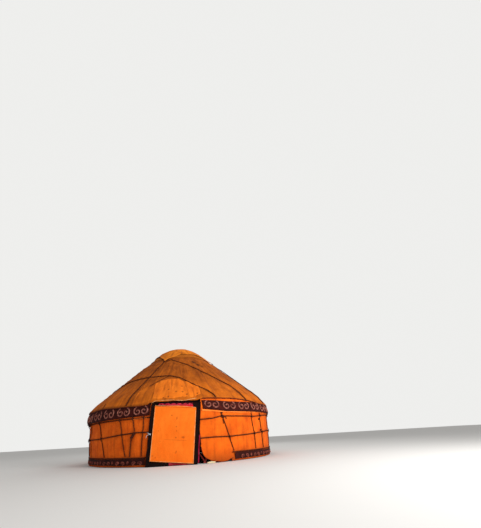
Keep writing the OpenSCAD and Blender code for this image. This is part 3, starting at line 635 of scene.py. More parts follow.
def spots(x, y, table):
    """Marks round points: rows of x, y, half width, half height and strength."""
    total = np.zeros_like(x)
    for px, py, wide, tall, strength in table:
        total = np.maximum(total, strength * np.exp(-((x - px) / wide) ** 2 - ((y - py) / tall) ** 2))
    return total


def unit_grid(rows, cols, first=0):
    """Even grids f and g, from first to 1 up the rows and along the columns."""
    return np.meshgrid(np.linspace(first, 1, rows), np.linspace(first, 1, cols), indexing="ij")


def grid(b0, b1, s0, s1, cell):
    """Even grids f and g for a sheet with cells about cell metres wide."""
    mid = profile((s0 + s1) / 2, 0)[0]
    cols = max(3, round(abs(math.radians(b1 - b0)) * max(float(mid), 1.2) / cell) + 1)
    rows = max(3, round(abs(s1 - s0) / cell) + 1)
    return unit_grid(rows, cols)


def skin_height(b, s, bulge, seed, rest=0.0):
    """How far a felt stands over its rest: pressed in at the ropes, full between them, lumpy all over."""
    free = 1 - hump(near_rope(b, s), 0.085)
    x = np.radians(b) * WALL_R
    lumps = 0.45 * swell(x, s, 0.34, seed, 1.6) + 0.3 * swell(x, s, 0.13, seed + 1, 2.2)
    return rest + free * bulge * (0.75 + 0.5 * lumps) - 0.002 * (1 - free)


# Wall felts

# Bearings of the felts that are alike, which lap over the next one
WALL_FELTS = {"right_front": (60, 108), "right_back": (108, 156), "back": (156, 204),
              "left_back": (204, 252), "left_front": (252, 300)}
# Feet of the felts, by bearing: one height all round, and the loose front felt's rounded foot
EVEN_FOOT = [(0, .010)]
LOOSE_FOOT = [(12.9, .40), (13.15, .29), (13.5, .22), (14, .172), (14.8, .128), (15.9, .092), (17.6, .055),
              (19.6, .03), (22, .016), (24, .012), (26, .02), (28, .038), (30.6, .066)]
# Bearings of the loose felt's sides, by height
LOOSE_LEFT = [(0, 13.6), (.29, 13.15), (.40, 12.92), (.56, 12.72), (.75, 12.6)]
LOOSE_RIGHT = [(.05, 30.5), (.35, 30.2), (.52, 29.2), (.8, 29.6), (1.3, 30.3)]
# How far the felts stop short of the door posts
POST_GAP = 0.010
# Height of the roof felts' lower edge, by bearing
EDGE_WAY = [(-180, 1.39), (-120, 1.37), (-90, 1.385), (-57, 1.36), (-43, 1.388), (-30, 1.366), (-17, 1.364),
            (-13, 1.39), (-11.8, 1.436), (12.5, 1.436), (14, 1.47), (32, 1.47), (44, 1.44), (52, 1.385),
            (57, 1.365), (90, 1.37), (130, 1.39), (180, 1.39)]


def left_of_door(z):
    """Bearing of the felt's side at the left door post."""
    return beside_post(z, -1, POST_GAP)


def loose_side(z):
    """Bearing of the loose felt's left side, which leaves the door post below."""
    free = between(z, LOOSE_LEFT)
    return free + (beside_post(z, 1, POST_GAP) - free) * soft_step(z, 0.6, 0.8)


def loose_edge(z):
    """Bearing of the loose felt's right side."""
    return between(z, LOOSE_RIGHT)


def roof_edge(b):
    """Height of the roof felts' wavy lower edge."""
    b = signed(b)
    return between(b, EDGE_WAY) + 0.004 * np.sin(np.radians(b) * 23)


def wall_felt(number, name, part, b0, b1, foot=EVEN_FOOT, left=None, right=None, rest=0.0, lap=True,
              cell=0.03):
    """One wall felt from bearing b0 to b1, or between sides that are given by height. It is shown for the
    wall felt called part in the CAD, and its number sets its lumps."""
    f, g = grid(b0, b1, -SHOULDER_Z, float(s_of_z(EDGE_Z)), cell)
    nominal = b0 + (b1 - b0) * g[0]
    low = s_of_z(between(nominal, foot))
    top = s_of_z(roof_edge(nominal) + 0.045)
    s = low + (top - low) * f
    z = profile(s, 0)[1]
    b_left = left(z) if left else np.full_like(s, b0)
    b_right = right(z) if right else np.full_like(s, b1)
    b = b_left + (b_right - b_left) * g
    x = np.radians(b) * WALL_R
    to_rope = near_rope(b, s)
    d = skin_height(b, s, 0.010, number * 7 + 3, rest)
    if lap:
        d = d + LAP_T * soft_step(b, b1 - 5, b1 - 1.5)
    d = d + 0.004 * swell(x, s * 0, 0.22, 40 + number) * soft_step(-s, 0.9, 1.2)
    d = d + 0.0035 * swell(x, s * 0.2, 0.09, 60 + number) * soft_step(to_rope, 0.02, 0.1)
    # Painted shade and dirt along the ropes, and patches of dirt
    rope_shade_and_dirt = 0.55 * hump(to_rope, 0.022) + 0.25 * soft_step(swell(x, s, 0.6, 81, 1.5), 0.9, 1.6)
    mesh = cloth_mesh("felt_wall_" + name, b, s, d, FELT_T, mark=rope_shade_and_dirt)
    piece = to_piece("felt_wall_" + name, mesh, [FINISH["wall"], FINISH["inside"]],
                     nodes="wall_felt_" + part)


def wall_felts():
    """Seven lengths of wall felt; the front right one has a loose piece beside the door over it."""
    for number, (name, (b0, b1)) in enumerate(WALL_FELTS.items()):
        wall_felt(number, name, name, b0, b1 + WALL_LAP_B)
    wall_felt(5, "front_left", "front_left", -60, -12.4, right=left_of_door, lap=False, cell=0.026)
    wall_felt(6, "front_right", "front_right", 29.5, 61.2)
    wall_felt(7, "front_loose", "front_right", 13.1, 30.6, LOOSE_FOOT, loose_side, loose_edge, rest=0.016,
              lap=False, cell=0.026)


# Roof felts

ROOF_FELTS = ["front", "front_right", "right", "back_right", "back", "back_left", "left", "front_left"]
# Where two upper layers of the roof felts end, by bearing and distance from the axis
UPPER_LAYER = [(-60, 1.26), (-41, 1.287), (-28.9, 1.327), (-19.1, 1.342), (-12, 1.335), (-4, 1.36),
               (5, 1.42), (13, 1.47)]
LOWER_LAYER = [(-8, 1.98), (-2.2, 1.93), (0.2, 1.832), (6.7, 1.77), (12.6, 1.747), (20, 1.70)]
# Painted shade along the felts' hem: how dark it is, by bearing
HEM_PAINTED_SHADE = [(-120, .9), (-17, .9), (-11, 0), (14, 0), (40, .25), (90, .5)]
# Dark patches on the roof: bearing, distance from the axis, half widths and strength
ROOF_PATCHES = [(23.5, 1.31, 4.2, .10, 1.1), (27.5, 1.42, 3.6, .08, 1.1), (31, 1.50, 3, .07, .8)]


def roof_height(b, s, seed):
    """Roof felt over its poles: it sags between them and fills out between the ropes."""
    d = skin_height(b, s, 0.016, seed, rest=-0.002)
    grip = soft_step(s, 0.2, 0.6) * (1 - 0.6 * soft_step(s, ARC + 1.2, ARC + ROOF_LEN))
    d = d - 0.012 * between_poles(b) * grip
    x = np.radians(b) * profile(s, 0)[0]
    d = d + 0.005 * swell(x + 0.35 * s, s * 0.3, 0.16, seed + 5) * soft_step(s, 0.3, 0.8)
    # A lower layer ends in an uneven line above the front panel, and an upper one nearer the crown
    turn = signed(b)
    line = s_of_r(between(turn, LOWER_LAYER))
    layer = soft_step(s, line, line + 0.03) * soft_step(turn, -7, -3) * (1 - soft_step(turn, 14, 19))
    d = d + 0.007 * layer * (1 - soft_step(s, line + 0.3, line + 0.55))
    line = s_of_r(between(turn, UPPER_LAYER))
    layer = soft_step(s, line, line + 0.025) * soft_step(turn, -60, -48) * (1 - soft_step(turn, 12, 16))
    d = d + 0.006 * layer
    # Flat under the crown cover
    under = soft_step(s, float(s_of_r(1.30)), float(s_of_r(1.10)))
    return d * (1 - under) - 0.003 * under


def roof_marks(b, s):
    """Marks on the roof: dirt and painted shade along the ropes, darker up the slope and down from the
    crown, painted shade in the dark hem and along the felt layers' ends, and measured patches.
    """
    turn = signed(b)
    r, z = profile(s, 0)
    x = np.radians(turn) * r
    # Painted shade and dirt in a narrow band along each rope
    rope = 0.6 * hump(near_rope(b, s), 0.026)
    # Darker from 0.75 m up the skin onward, fully from 1.35 m
    up_slope_darkening = 0.34 * soft_step(s, 0.75, 1.35) * (0.85 + 0.15 * swell(x, s, 0.5, 94))
    runs = swell(np.radians(turn) * 2.2, s * 0.16, 0.20, 91)
    washed = 0.45 * soft_step(runs, 0.5, 1.5) * soft_step(s, 0.5, 0.9)
    from_crown = soft_step(s, float(s_of_r(1.45)), float(s_of_r(1.05)))
    crown = 0.5 * from_crown * (0.6 + 0.4 * swell(x, s, 0.2, 92))
    # Painted shade along the hem, darkest on the left
    hem = 0.9 * hump(z - roof_edge(b), 0.045) * between(turn, HEM_PAINTED_SHADE)
    patch = spots(turn, r, ROOF_PATCHES)
    # Painted shade along the uneven ends of the two upper felt layers
    upper = 0.7 * hump(r - between(turn, UPPER_LAYER), 0.014) * soft_step(turn, -56, -48)
    upper = upper * (1 - soft_step(turn, 12, 16))
    lower = 0.5 * hump(r - between(turn, LOWER_LAYER), 0.014) * soft_step(turn, -7, -3)
    lower = lower * (1 - soft_step(turn, 14, 19))
    return np.clip(np.maximum.reduce([rope, washed, up_slope_darkening, crown, hem, patch, upper, lower]), 0, 1)


def roof_felts():
    """Eight roof felts with a rolled lower hem, each lapping over the next."""
    top = ARC + ROOF_LEN - 0.01
    wide = 360 / len(ROOF_FELTS)
    for k, name in enumerate(ROOF_FELTS):
        b0 = wide * (k - 0.5)
        b1 = b0 + wide + ROOF_LAP_B
        f, g = grid(b0, b1, 0.2, top, 0.036)
        b = b0 + (b1 - b0) * g
        low = s_of_z(roof_edge(b[0]))
        s = low + (top - low) * f
        # The lap dies out under the crown cover
        lap = 1 - 0.8 * soft_step(s, float(s_of_r(1.3)), float(s_of_r(1.1)))
        d = roof_height(b, s, 100 + 9 * k) + LAP_T * soft_step(b, b1 - 7, b1 - 2.5) * lap
        d = d + hem_roll(b, s - low, 0.021, 0.16)
        mesh = cloth_mesh("felt_roof_" + name, b, s, d, FELT_T, mark=roof_marks(b, s))
        piece = to_piece("felt_roof_" + name, mesh, [FINISH["roof"], FINISH["inside"]],
                         nodes="roof_felt_" + name)


# The front panel's foot (bearing, height), its head and its small holes (bearing, distance from the axis)
PANEL_FOOT = [(-14, 1.40), (-11.8, 1.446), (-8, 1.452), (-2.7, 1.449), (0.5, 1.436), (3.9, 1.427),
              (7, 1.436), (10, 1.462), (12.5, 1.474), (16, 1.479)]
PANEL_HEAD = [(-13.8, 2.252), (-11, 2.17), (-6, 2.10), (0, 2.089), (8, 2.2), (15.4, 2.361)]
PANEL_HOLES = [(4.8, 2.406), (-3.3, 2.505), (1.2, 2.589), (-2.7, 2.701), (7.2, 2.672), (4.9, 2.607),
               (-5.3, 2.719), (13, 2.66)]
# Distance from the axis at which the panel's holes are as wide as they are tall
PANEL_R = 2.5


def front_panel():
    """Newer, paler felt laid over the front of the roof, with a wavy pale lower hem over the door."""
    b0, b1 = -13.8, 15.4
    f, g = grid(b0, b1, 0.25, 1.0, 0.014)
    nominal = b0 + (b1 - b0) * g[0]
    low = s_of_z(between(nominal, PANEL_FOOT))
    high = s_of_r(between(nominal, PANEL_HEAD))
    s = low + (high - low) * f
    left = -11.3 - 2.5 * soft_step(s, 0.35, 1.15)
    right = 14.6 + 0.8 * soft_step(s, 0.35, 1.0)
    b = left + (right - left) * g
    up = s - low
    d = roof_height(b, s, 100) + 0.0085 + 0.010 * hump(up, 0.05)
    d = d + 0.004 * swell(np.radians(b) * 2.7, s * 0, 0.3, 77) * soft_step(up, 0.3, 0)
    x, y = np.radians(b) * PANEL_R, profile(s, 0)[0]
    holes = spots(x, y, [(math.radians(turn) * PANEL_R, r, 0.018, 0.015, 1.0) for turn, r in PANEL_HOLES])
    mark = np.maximum(holes, 0.35 * soft_step(swell(x, y * 0.3, 0.12, 93), 0.6, 1.5))
    mesh = cloth_mesh("felt_roof_front_panel", b, s, d, 0.007, mark=mark)
    piece = to_piece("felt_roof_front_panel", mesh, [FINISH["panel"], FINISH["inside"]])


# Crown cover

def cover_turned(x, y):
    """Level places x and y along the crown cover's own sides, turned with the cover."""
    turn = math.radians(COVER_TURN - 45)
    return x * math.cos(turn) - y * math.sin(turn), x * math.sin(turn) + y * math.cos(turn)


def on_crown(x, y, d):
    """World points over the crown: x and y along the cover's own sides, d over the dome and the slope."""
    x, y = cover_turned(x, y)
    r = np.hypot(x, y)
    lean = np.clip(r / CAP_R, 0, math.sin(SLOPE))
    dome = CAP_Z + np.sqrt(CAP_R ** 2 - np.minimum(r, CROWN_R) ** 2)
    slope = dome - np.maximum(r - CROWN_R, 0) * math.tan(SLOPE)
    return np.stack([x, y, slope + d / np.sqrt(1 - lean ** 2)], -1)


def crown_cover():
    """Square felt over the crown: full, weighted by its corners, with a sewn border."""
    u, v = unit_grid(74, 74, -1)
    side = COVER_HALF
    pull = 1 + 0.020 * np.abs(u * v) ** 3
    waver = 0.012
    x = u * side * pull + waver * swell(v * side, u * 0, 0.5, 5) * np.abs(u) ** 6 * np.sign(u)
    y = v * side * pull + waver * swell(u * side, v * 0, 0.5, 8) * np.abs(v) ** 6 * np.sign(v)
    wx, wy = cover_turned(x, y)
    r, around = np.hypot(wx, wy), np.arctan2(wy, wx)
    border = np.maximum(np.abs(u), np.abs(v)) * side
    seam = hump(border - (side - 0.10), 0.010)
    d = 0.023 + 0.006 * swell(wx, wy, 0.4, 21) + 0.003 * swell(wx, wy, 0.12, 22)
    d = d - 0.006 * seam + 0.006 * soft_step(border, side - 0.12, side - 0.02)
    # It sinks in eight places inside the ring and lifts unevenly past it
    inside_ring = soft_step(r, 0.2, 0.45) * soft_step(0.72 - r, 0.0, 0.2)
    d = d - 0.010 * inside_ring * (0.5 + 0.5 * np.sin(8 * around))
    d = d + 0.008 * soft_step(r, 0.8, 1.1) * (0.5 + 0.5 * swell(around, r * 0, 0.5, 9))
    d = np.maximum(d, 0.0225)
    soiled = 0.5 * soft_step(swell(around * 1.5, r * 0.4, 0.22, 23), 0.4, 1.5) * soft_step(r, 0.35, 0.7)
    mark = np.maximum(soiled, 0.4 * seam)
    mesh = cloth_mesh("felt_crown_cover", x, y, d, FELT_T, spot=on_crown, mark=mark)
    piece = to_piece("felt_crown_cover", mesh, [FINISH["crown"], FINISH["inside"]],
                     nodes="crown_cover")


def crown_round():
    """Round felt under the crown cover, which shows beyond the middle of the cover's sides."""
    u, v = unit_grid(50, 50, -1)
    reach = 1.035 + 0.02 * swell(u, v, 0.8, 24)
    x, y = u * np.sqrt(1 - v * v / 2) * reach, v * np.sqrt(1 - u * u / 2) * reach
    low = 0.009 + 0.0015 * swell(x, y, 0.3, 25)
    mesh = cloth_mesh("felt_crown_round", x, y, low, 0.007, spot=on_crown, mark=np.full_like(x, 0.5))
    under = to_piece("felt_crown_round", mesh, [FINISH["crown"], FINISH["inside"]])


def cover_edge_lines():
    """Ropes along most of two opposite edges of the crown cover."""
    f = np.linspace(0.012, 0.75, 40)
    side = COVER_HALF
    return [on_crown(way * side * (2 * f - 1), np.full_like(f, way * side), np.full_like(f, 0.030))
            for way in (1, -1)]


# Bands

# Heights of the eave band's edges, and how far its lower edge hangs out, by bearing
BAND_LOW = [(-180, 1.13), (-59.5, 1.085), (-46.7, 1.09), (-36.7, 1.108), (-22.5, 1.126), (-11, 1.138),
            (11, 1.225), (15, 1.223), (27.6, 1.152), (42, 1.150), (69, 1.146), (180, 1.13)]
BAND_HIGH = [(-180, 1.40), (-16, 1.40), (-12, 1.43), (12, 1.43), (15, 1.425), (22, 1.410), (30, 1.385),
             (44, 1.39), (180, 1.40)]
BAND_OUT = [(-180, .004), (-120, .012), (-90, .046), (-50, .036), (-22, 0), (20, 0), (60, .010), (90, .018),
            (130, .008), (180, .004)]
# The foot band's ends, and its lower edge and height
BASE_BAND_B0, BASE_BAND_B1 = 31.5, 346.0
BASE_BAND_Z, BASE_BAND_H = 0.045, 0.135


def band_limits(b):
    """Heights of the eave band's lower and upper edges."""
    b = signed(b)
    return between(b, BAND_LOW), between(b, BAND_HIGH)


def eave_band():
    """Dark felt band under the eave, open at the door."""
    f, g = grid(14.1, 347.9, 0.0, 0.26, 0.035)
    b0, b1 = 14.4 + 0.5 * (1 - f), 347.95 + 0.5 * f
    b = b0 + (b1 - b0) * g
    low, high = (s_of_z(z) for z in band_limits(b[0]))
    s = low + (high - low) * f
    x = np.radians(b) * WALL_R
    d = 0.021 - 0.004 * f + 0.0025 * swell(x, s, 0.3, 61) + wall_top(b)
    d = d + between(signed(b), BAND_OUT) * (1 - f) ** 1.5
    mesh = cloth_mesh("band_eave", b, s, d, BAND_T)
    piece = to_piece("band_eave", mesh, FINISH["eave_band"], nodes="eave_band")


def base_band():
    """Dark band along the foot of the wall."""
    f, g = grid(BASE_BAND_B0, BASE_BAND_B1, -1.16, -1.02, 0.035)
    b = BASE_BAND_B0 + (BASE_BAND_B1 - BASE_BAND_B0) * g
    x = np.radians(b) * WALL_R
    s = -SHOULDER_Z + BASE_BAND_Z + BASE_BAND_H * f + 0.006 * swell(x, f, 0.9, 71)
    d = 0.022 + 0.003 * swell(x, s, 0.25, 72) + wall_top(b)
    mesh = cloth_mesh("band_foot", b, s, d, BAND_T)
    piece = to_piece("band_foot", mesh, FINISH["base_band"], nodes="base_band")


# Repeating pieces made with Geometry Nodes

def new_tree(name, sizes):
    """A Geometry Nodes tree with a geometry input and named inputs."""
    tree = bpy.data.node_groups.new(name, "GeometryNodeTree")
    tree.interface.new_socket("Geometry", in_out="INPUT", socket_type="NodeSocketGeometry")
    for label, kind in sizes.items():
        tree.interface.new_socket(label, in_out="INPUT", socket_type="NodeSocket" + kind)
    tree.interface.new_socket("Geometry", in_out="OUTPUT", socket_type="NodeSocketGeometry")
    return tree, add(tree, "NodeGroupInput")


def end_tree(tree, source, geometry):
    """Realize, give the material and hand the result out."""
    solid = add(tree, "GeometryNodeRealizeInstances", {0: geometry})
    coated = add(tree, "GeometryNodeSetMaterial", {0: solid, "Material": source.outputs["Material"]})
    add(tree, "NodeGroupOutput", {0: coated})


def grow(name, tree, points, edges, sizes, attributes=None):
    """Runs a tree on a host of points and edges and gives back a plain mesh."""
    host_mesh = bpy.data.meshes.new(name + "_host")
    host_mesh.from_pydata([tuple(p) for p in points], [tuple(e) for e in edges], [])
    for label, values in (attributes or {}).items():
        values = np.asarray(values, np.float32)
        kind = "FLOAT" if values.ndim == 1 else "FLOAT_VECTOR"
        layer = host_mesh.attributes.new(label, kind, "POINT")
        layer.data.foreach_set("value" if values.ndim == 1 else "vector", values.ravel())
    host = bpy.data.objects.new(name + "_host", host_mesh)
    bpy.context.scene.collection.objects.link(host)
    modifier = host.modifiers.new("grow", "NODES")
    modifier.node_group = tree
    sockets = {i.name: i.identifier for i in tree.interface.items_tree if i.in_out == "INPUT"}
    for label, value in sizes.items():
        modifier[sockets[label]] = value
    bpy.context.view_layer.update()
    mesh = bpy.data.meshes.new_from_object(host.evaluated_get(bpy.context.evaluated_depsgraph_get()))
    mesh.name = name
    host.modifiers.remove(modifier)
    bpy.data.objects.remove(host)
    return mesh


def rope_tree():
    """Strands twisted round a path: each strand is a copy of the path, moved out along a turning normal."""
    tree, source = new_tree("Twisted rope", {"Rope radius": "Float", "Lay length": "Float",
                                             "Strands": "Int", "Material": "Material"})
    out = source.outputs
    path = add(tree, "GeometryNodeMeshToCurve", {0: out["Geometry"]})
    step = add(tree, "ShaderNodeMath", {0: out["Lay length"], 1: 6.0}, operation="DIVIDE")
    even = add(tree, "GeometryNodeResampleCurve", {0: path, "Length": step}, mode="LENGTH")
    copies = add(tree, "GeometryNodeDuplicateElements", {0: even, "Amount": out["Strands"]},
                 domain="SPLINE")
    along = add(tree, "GeometryNodeSplineParameter")
    turns = add(tree, "ShaderNodeMath", {0: along.outputs["Length"], 1: out["Lay length"]},
                operation="DIVIDE")
    share = add(tree, "ShaderNodeMath", {0: copies.outputs["Duplicate Index"], 1: out["Strands"]},
                operation="DIVIDE")
    both = add(tree, "ShaderNodeMath", {0: turns, 1: share}, operation="ADD")
    angle = add(tree, "ShaderNodeMath", {0: both, 1: 2 * math.pi}, operation="MULTIPLY")
    normal = add(tree, "GeometryNodeInputNormal")
    tangent = add(tree, "GeometryNodeInputTangent")
    turned = add(tree, "ShaderNodeVectorRotate", {"Vector": normal, "Axis": tangent, "Angle": angle},
                 rotation_type="AXIS_ANGLE")
    # The strands' middles lie as far out as a strand is thick, so that they touch
    strand = add(tree, "ShaderNodeMath", {0: out["Rope radius"], 1: 0.52}, operation="MULTIPLY")
    offset = add(tree, "ShaderNodeVectorMath", {0: turned, "Scale": strand}, operation="SCALE")
    laid = add(tree, "GeometryNodeSetPosition", {0: copies, "Offset": offset})
    round_strand = add(tree, "GeometryNodeCurvePrimitiveCircle", {"Resolution": 5, "Radius": strand})
    strands = add(tree, "GeometryNodeCurveToMesh", {0: laid, 1: round_strand, "Fill Caps": True})
    smooth = add(tree, "GeometryNodeSetShadeSmooth", {0: strands})
    end_tree(tree, source, smooth)
    return tree


def motif_tree(name, cord, lay):
    """A motif set at each host point, turned and stretched by the point's own values. lay presses its
    lines on a cloth along the point's outward direction, and cord gives them a round section."""
    tree, source = new_tree(name, {"Motif": "Object", "Cloth": "Object", "Cord radius": "Float",
                                   "Material": "Material"})
    out = source.outputs
    turn, size, outward = (add(tree, "GeometryNodeInputNamedAttribute", {"Name": label},
                               data_type="FLOAT_VECTOR") for label in ("turn", "size", "outward"))
    motif = add(tree, "GeometryNodeObjectInfo", {"Object": out["Motif"]})
    turned = add(tree, "FunctionNodeEulerToRotation", {0: turn})
    copies = add(tree, "GeometryNodeInstanceOnPoints", {0: out["Geometry"], "Rotation": turned,
                                                        "Scale": size,
                                                        "Instance": motif.outputs["Geometry"]})
    shape = add(tree, "GeometryNodeRealizeInstances", {0: copies})
    if lay:
        # Rays start 0.15 m outside the cloth and go in
        cloth = add(tree, "GeometryNodeObjectInfo", {"Object": out["Cloth"]})
        here = add(tree, "GeometryNodeInputPosition")
        start = add(tree, "ShaderNodeVectorMath", {0: outward, 1: (0.15, 0.15, 0.15), 2: here},
                    operation="MULTIPLY_ADD")
        inward = add(tree, "ShaderNodeVectorMath", {0: outward, "Scale": -1.0}, operation="SCALE")
        hit = add(tree, "GeometryNodeRaycast", {"Target Geometry": cloth.outputs["Geometry"],
                                                "Source Position": start, "Ray Direction": inward,
                                                "Ray Length": 0.4})
        rise = add(tree, "ShaderNodeMath", {0: out["Cord radius"], 1: 0.6}, operation="MULTIPLY")
        lift = add(tree, "ShaderNodeVectorMath", {0: hit.outputs["Hit Normal"], "Scale": rise},
                   operation="SCALE")
        spot = add(tree, "ShaderNodeVectorMath", {0: hit.outputs["Hit Position"], 1: lift}, operation="ADD")
        shape = add(tree, "GeometryNodeSetPosition", {0: shape, "Selection": hit.outputs["Is Hit"],
                                                      "Position": spot})
    if cord:
        line = add(tree, "GeometryNodeMeshToCurve", {0: shape})
        section = add(tree, "GeometryNodeCurvePrimitiveCircle",
                      {"Resolution": 6, "Radius": out["Cord radius"]})
        shape = add(tree, "GeometryNodeCurveToMesh", {0: line, 1: section, "Fill Caps": True})
    smooth = add(tree, "GeometryNodeSetShadeSmooth", {0: shape})
    end_tree(tree, source, smooth)
    return tree


ROPE_TREE = rope_tree()
SEWN_TREE = motif_tree("Sewn cord motif", True, True)
CORD_TREE = motif_tree("Cord motif", True, False)
SOLID_TREE = motif_tree("Solid motif", False, False)


def stamp(name, tree, motif, where, coat, cord=0.006, cloth=None, body="tent"):
    """Copies of a motif as one piece. motif is (points, edges, faces); where has rows of a world point, its
    right and up directions, and the copy's size along right, up and outward."""
    shape = bpy.data.meshes.new(name + "_motif")
    shape.from_pydata([tuple(p) for p in motif[0]], motif[1], motif[2])
    pattern = bpy.data.objects.new(name + "_motif", shape)
    bpy.context.scene.collection.objects.link(pattern)
    turns, outs = [], []
    for _, right, up, _ in where:
        right, up = Vector(right).normalized(), Vector(up)
        out = right.cross(up).normalized()
        turns.append(Matrix((right, out.cross(right), out)).transposed().to_euler())
        outs.append(out)
    values = {"Motif": pattern, "Cord radius": cord, "Material": FINISH[coat]}
    if cloth:
        values["Cloth"] = cloth
    mesh = grow(name, tree, [row[0] for row in where], [], values,
                {"turn": turns, "size": [row[3] for row in where], "outward": outs})
    bpy.data.objects.remove(pattern)
    return to_piece(name, mesh, FINISH[coat], body=body)


def strings(*lines):
    """Open lines of points as a motif."""
    points, edges = [], []
    for line in lines:
        edges += [(len(points) + i, len(points) + i + 1) for i in range(len(line) - 1)]
        points += [tuple(p) for p in line]
    return points, edges, []


# The one row for stamp that leaves a motif where it is drawn, with its up along +Z
HERE = [((0, 0, 0), (1, 0, 0), (0, 0, 1), (1, 1, 1))]


def plain_cord(name, lines, radius, coat, body="tent"):
    """Plain cords along lines of world points, as one piece."""
    turned = [[(x, z, -y) for x, y, z in line] for line in lines]
    stamp(name, CORD_TREE, strings(*turned), HERE, coat, radius, body=body)


def on_skin(b, s, size, spin=0.0, lift=0.0):
    """A row for stamp on the tent's skin: right is along the wall, up is up the slope."""
    spot = place(b, s, lift)
    along = np.array([math.cos(math.radians(b)), math.sin(math.radians(b)), 0.0])
    rise = place(b, s + 0.01, lift) - place(b, s - 0.01, lift)
    rise = rise / np.linalg.norm(rise)
    turn = math.radians(spin)
    return (tuple(spot), tuple(along * math.cos(turn) + rise * math.sin(turn)),
            tuple(rise * math.cos(turn) - along * math.sin(turn)), size)


def horn(start, end, turns, top, gap, count=32):
    """Ram's-horn scroll of two cords side by side, whose outer end points up on the left."""
    f = np.linspace(0, 1, count)
    angle = np.radians(top + 360 * turns * f)
    lines = []
    for inset in (0, gap):
        r = start + (end - start) * f ** 0.9 - inset
        lines.append(np.stack([r * np.cos(angle), r * np.sin(angle), 0 * f], 1))
    return strings(*lines)


def coil(turns, radius, length, count=13):
    """Helix round the first axis: a cord wound round a rope or a pole."""
    f = np.linspace(0, 1, int(turns * count))
    a = 2 * math.pi * turns * f
    return strings(np.stack([(f - 0.5) * length, radius * np.cos(a), radius * np.sin(a)], 1))


def ropes(name, lines, radius, lay, coat="rope", nodes=()):
    """Twisted ropes along lines of world points, as one piece."""
    points, edges = [], []
    for line in lines:
        first = len(points)
        points.extend(line)
        edges.extend((first + i, first + i + 1) for i in range(len(line) - 1))
    sizes = {"Rope radius": radius, "Lay length": lay, "Strands": STRANDS, "Material": FINISH[coat]}
    mesh = grow(name, ROPE_TREE, points, edges, sizes)
    to_piece(name, mesh, FINISH[coat], nodes=nodes)


# Outer ropes

# Heights of the roof ropes' middles over the felt, a little apart where they cross
ROOF_LIFT = {"corner": 0.010, "spiral": 0.011, "arc": 0.012}
# Knots off the ties' crossings (bearing, height) and the courses of the rope tails
LONE_HITCHES = [(54.2, 1.165), (53.9, .963), (54.8, .673), (24.9, 1.12)]
TAIL_WAYS = [[(25.2, 1.03), (25.45, .99), (25.35, .93), (25.5, .861)],
             [(25.5, 1.035), (26.4, 1.03), (27.0, 1.014), (27.3, .966)],
             [(-21.6, .645), (-21.9, .61), (-21.7, .57)]]


def wall_line(key, lift):
    """A rope's course round the wall as world points."""
    b, s = COURSES[key].T
    return place(b, s, lift + wall_top(b))


def tie_course(i):
    """Bearings and heights down a tie."""
    b, s = COURSES[f"tie_{i}"].T
    return b, s + SHOULDER_Z


def tie_lines():
    """The ties down the wall, lifted where they cross the girths."""
    lines = []
    for i in range(len(TIES)):
        b, z = tie_course(i)
        over = np.zeros_like(z)
        for way in (GIRTH_WAY, UPPER_WAY):
            gap = np.abs(z - between(b % 360, way))
            over = np.maximum(over, np.clip(1 - (gap - 0.012) / 0.06, 0, 1))
        lift = TIE_R + 0.001 + wall_top(b) + 0.026 * soft_step(over, 0, 1)
        lines.append(place(b, z - SHOULDER_Z, lift))
    return lines


def roof_lines():
    """The ropes over the roof, down to its hem."""
    lines = []
    for key, course in COURSES.items():
        kind = key.split("_")[0]
        if kind in ROOF_LIFT:
            b, s = course.T
            up = s - s_of_z(roof_edge(b))
            lift = ROOF_LIFT[kind] + roof_lap(b) + hem_roll(b, up, 0.023, 0.18)
            lines.append(place(b, s, lift)[up > -0.004])
    return lines


def thin_lines():
    """Thin ropes on the front and the back of the roof, and a short one above the eave on the left."""
    lines = []
    for start in (0, 180):
        b, s = roof_course(start, THIN_WAY, 50).T
        lines.append(place(b, s, 0.014 + roof_lap(b)))
    s = np.linspace(float(s_of_z(1.53)), float(s_of_z(1.405)), 16)
    lines.append(place(np.full_like(s, -43.7), s, 0.034 + 0.002 * np.sin(s * 60)))
    return lines


def hitch_rows():
    """Where the ties cross the girths, the lone knots and the knots at the cover's corners."""
    rows = []
    for i in range(len(TIES)):
        b, z = tie_course(i)
        for way in (GIRTH_WAY, UPPER_WAY):
            at = int(np.abs(z - between(b % 360, way)).argmin())
            if 0 < at < len(b) - 1:
                lift = float(wall_top(b[at])) + 0.014
                spot = float(b[at]), float(z[at]) - SHOULDER_Z
                rows.append(on_skin(*spot, (1, 1, 1), 12 * (-1) ** i, lift))
    rows += [on_skin(b, z - SHOULDER_Z, (1.1, 1, 1), 70, 0.018) for b, z in LONE_HITCHES]
    rows += [on_skin(COVER_TURN + 90 * k, float(s_of_r(1.212)), (1.2, 1, 1), 0, 0.022) for k in range(4)]
    return rows


def outer_ropes():
    """The ropes outside: girths, foot rope, ties down the wall and the ropes over the roof."""
    for key in ("girth_middle", "girth_upper"):
        ropes("rope_" + key, [wall_line(key, GIRTH_R + 0.001)], GIRTH_R, ROPE_LAY,
              nodes=key.replace("girth", "girth_rope"))
    ropes("rope_foot", [wall_line("base", BASE_R + 0.006)], BASE_R, ROPE_LAY,
          nodes="base_rope")
    ropes("rope_ties", tie_lines(), TIE_R, 0.06, nodes="tie_ropes")
    ropes("rope_roof", roof_lines() + cover_edge_lines(), ROOF_R, ROPE_LAY,
          nodes="roof_ropes")
    ropes("rope_roof_thin", thin_lines(), 0.008, 0.05)


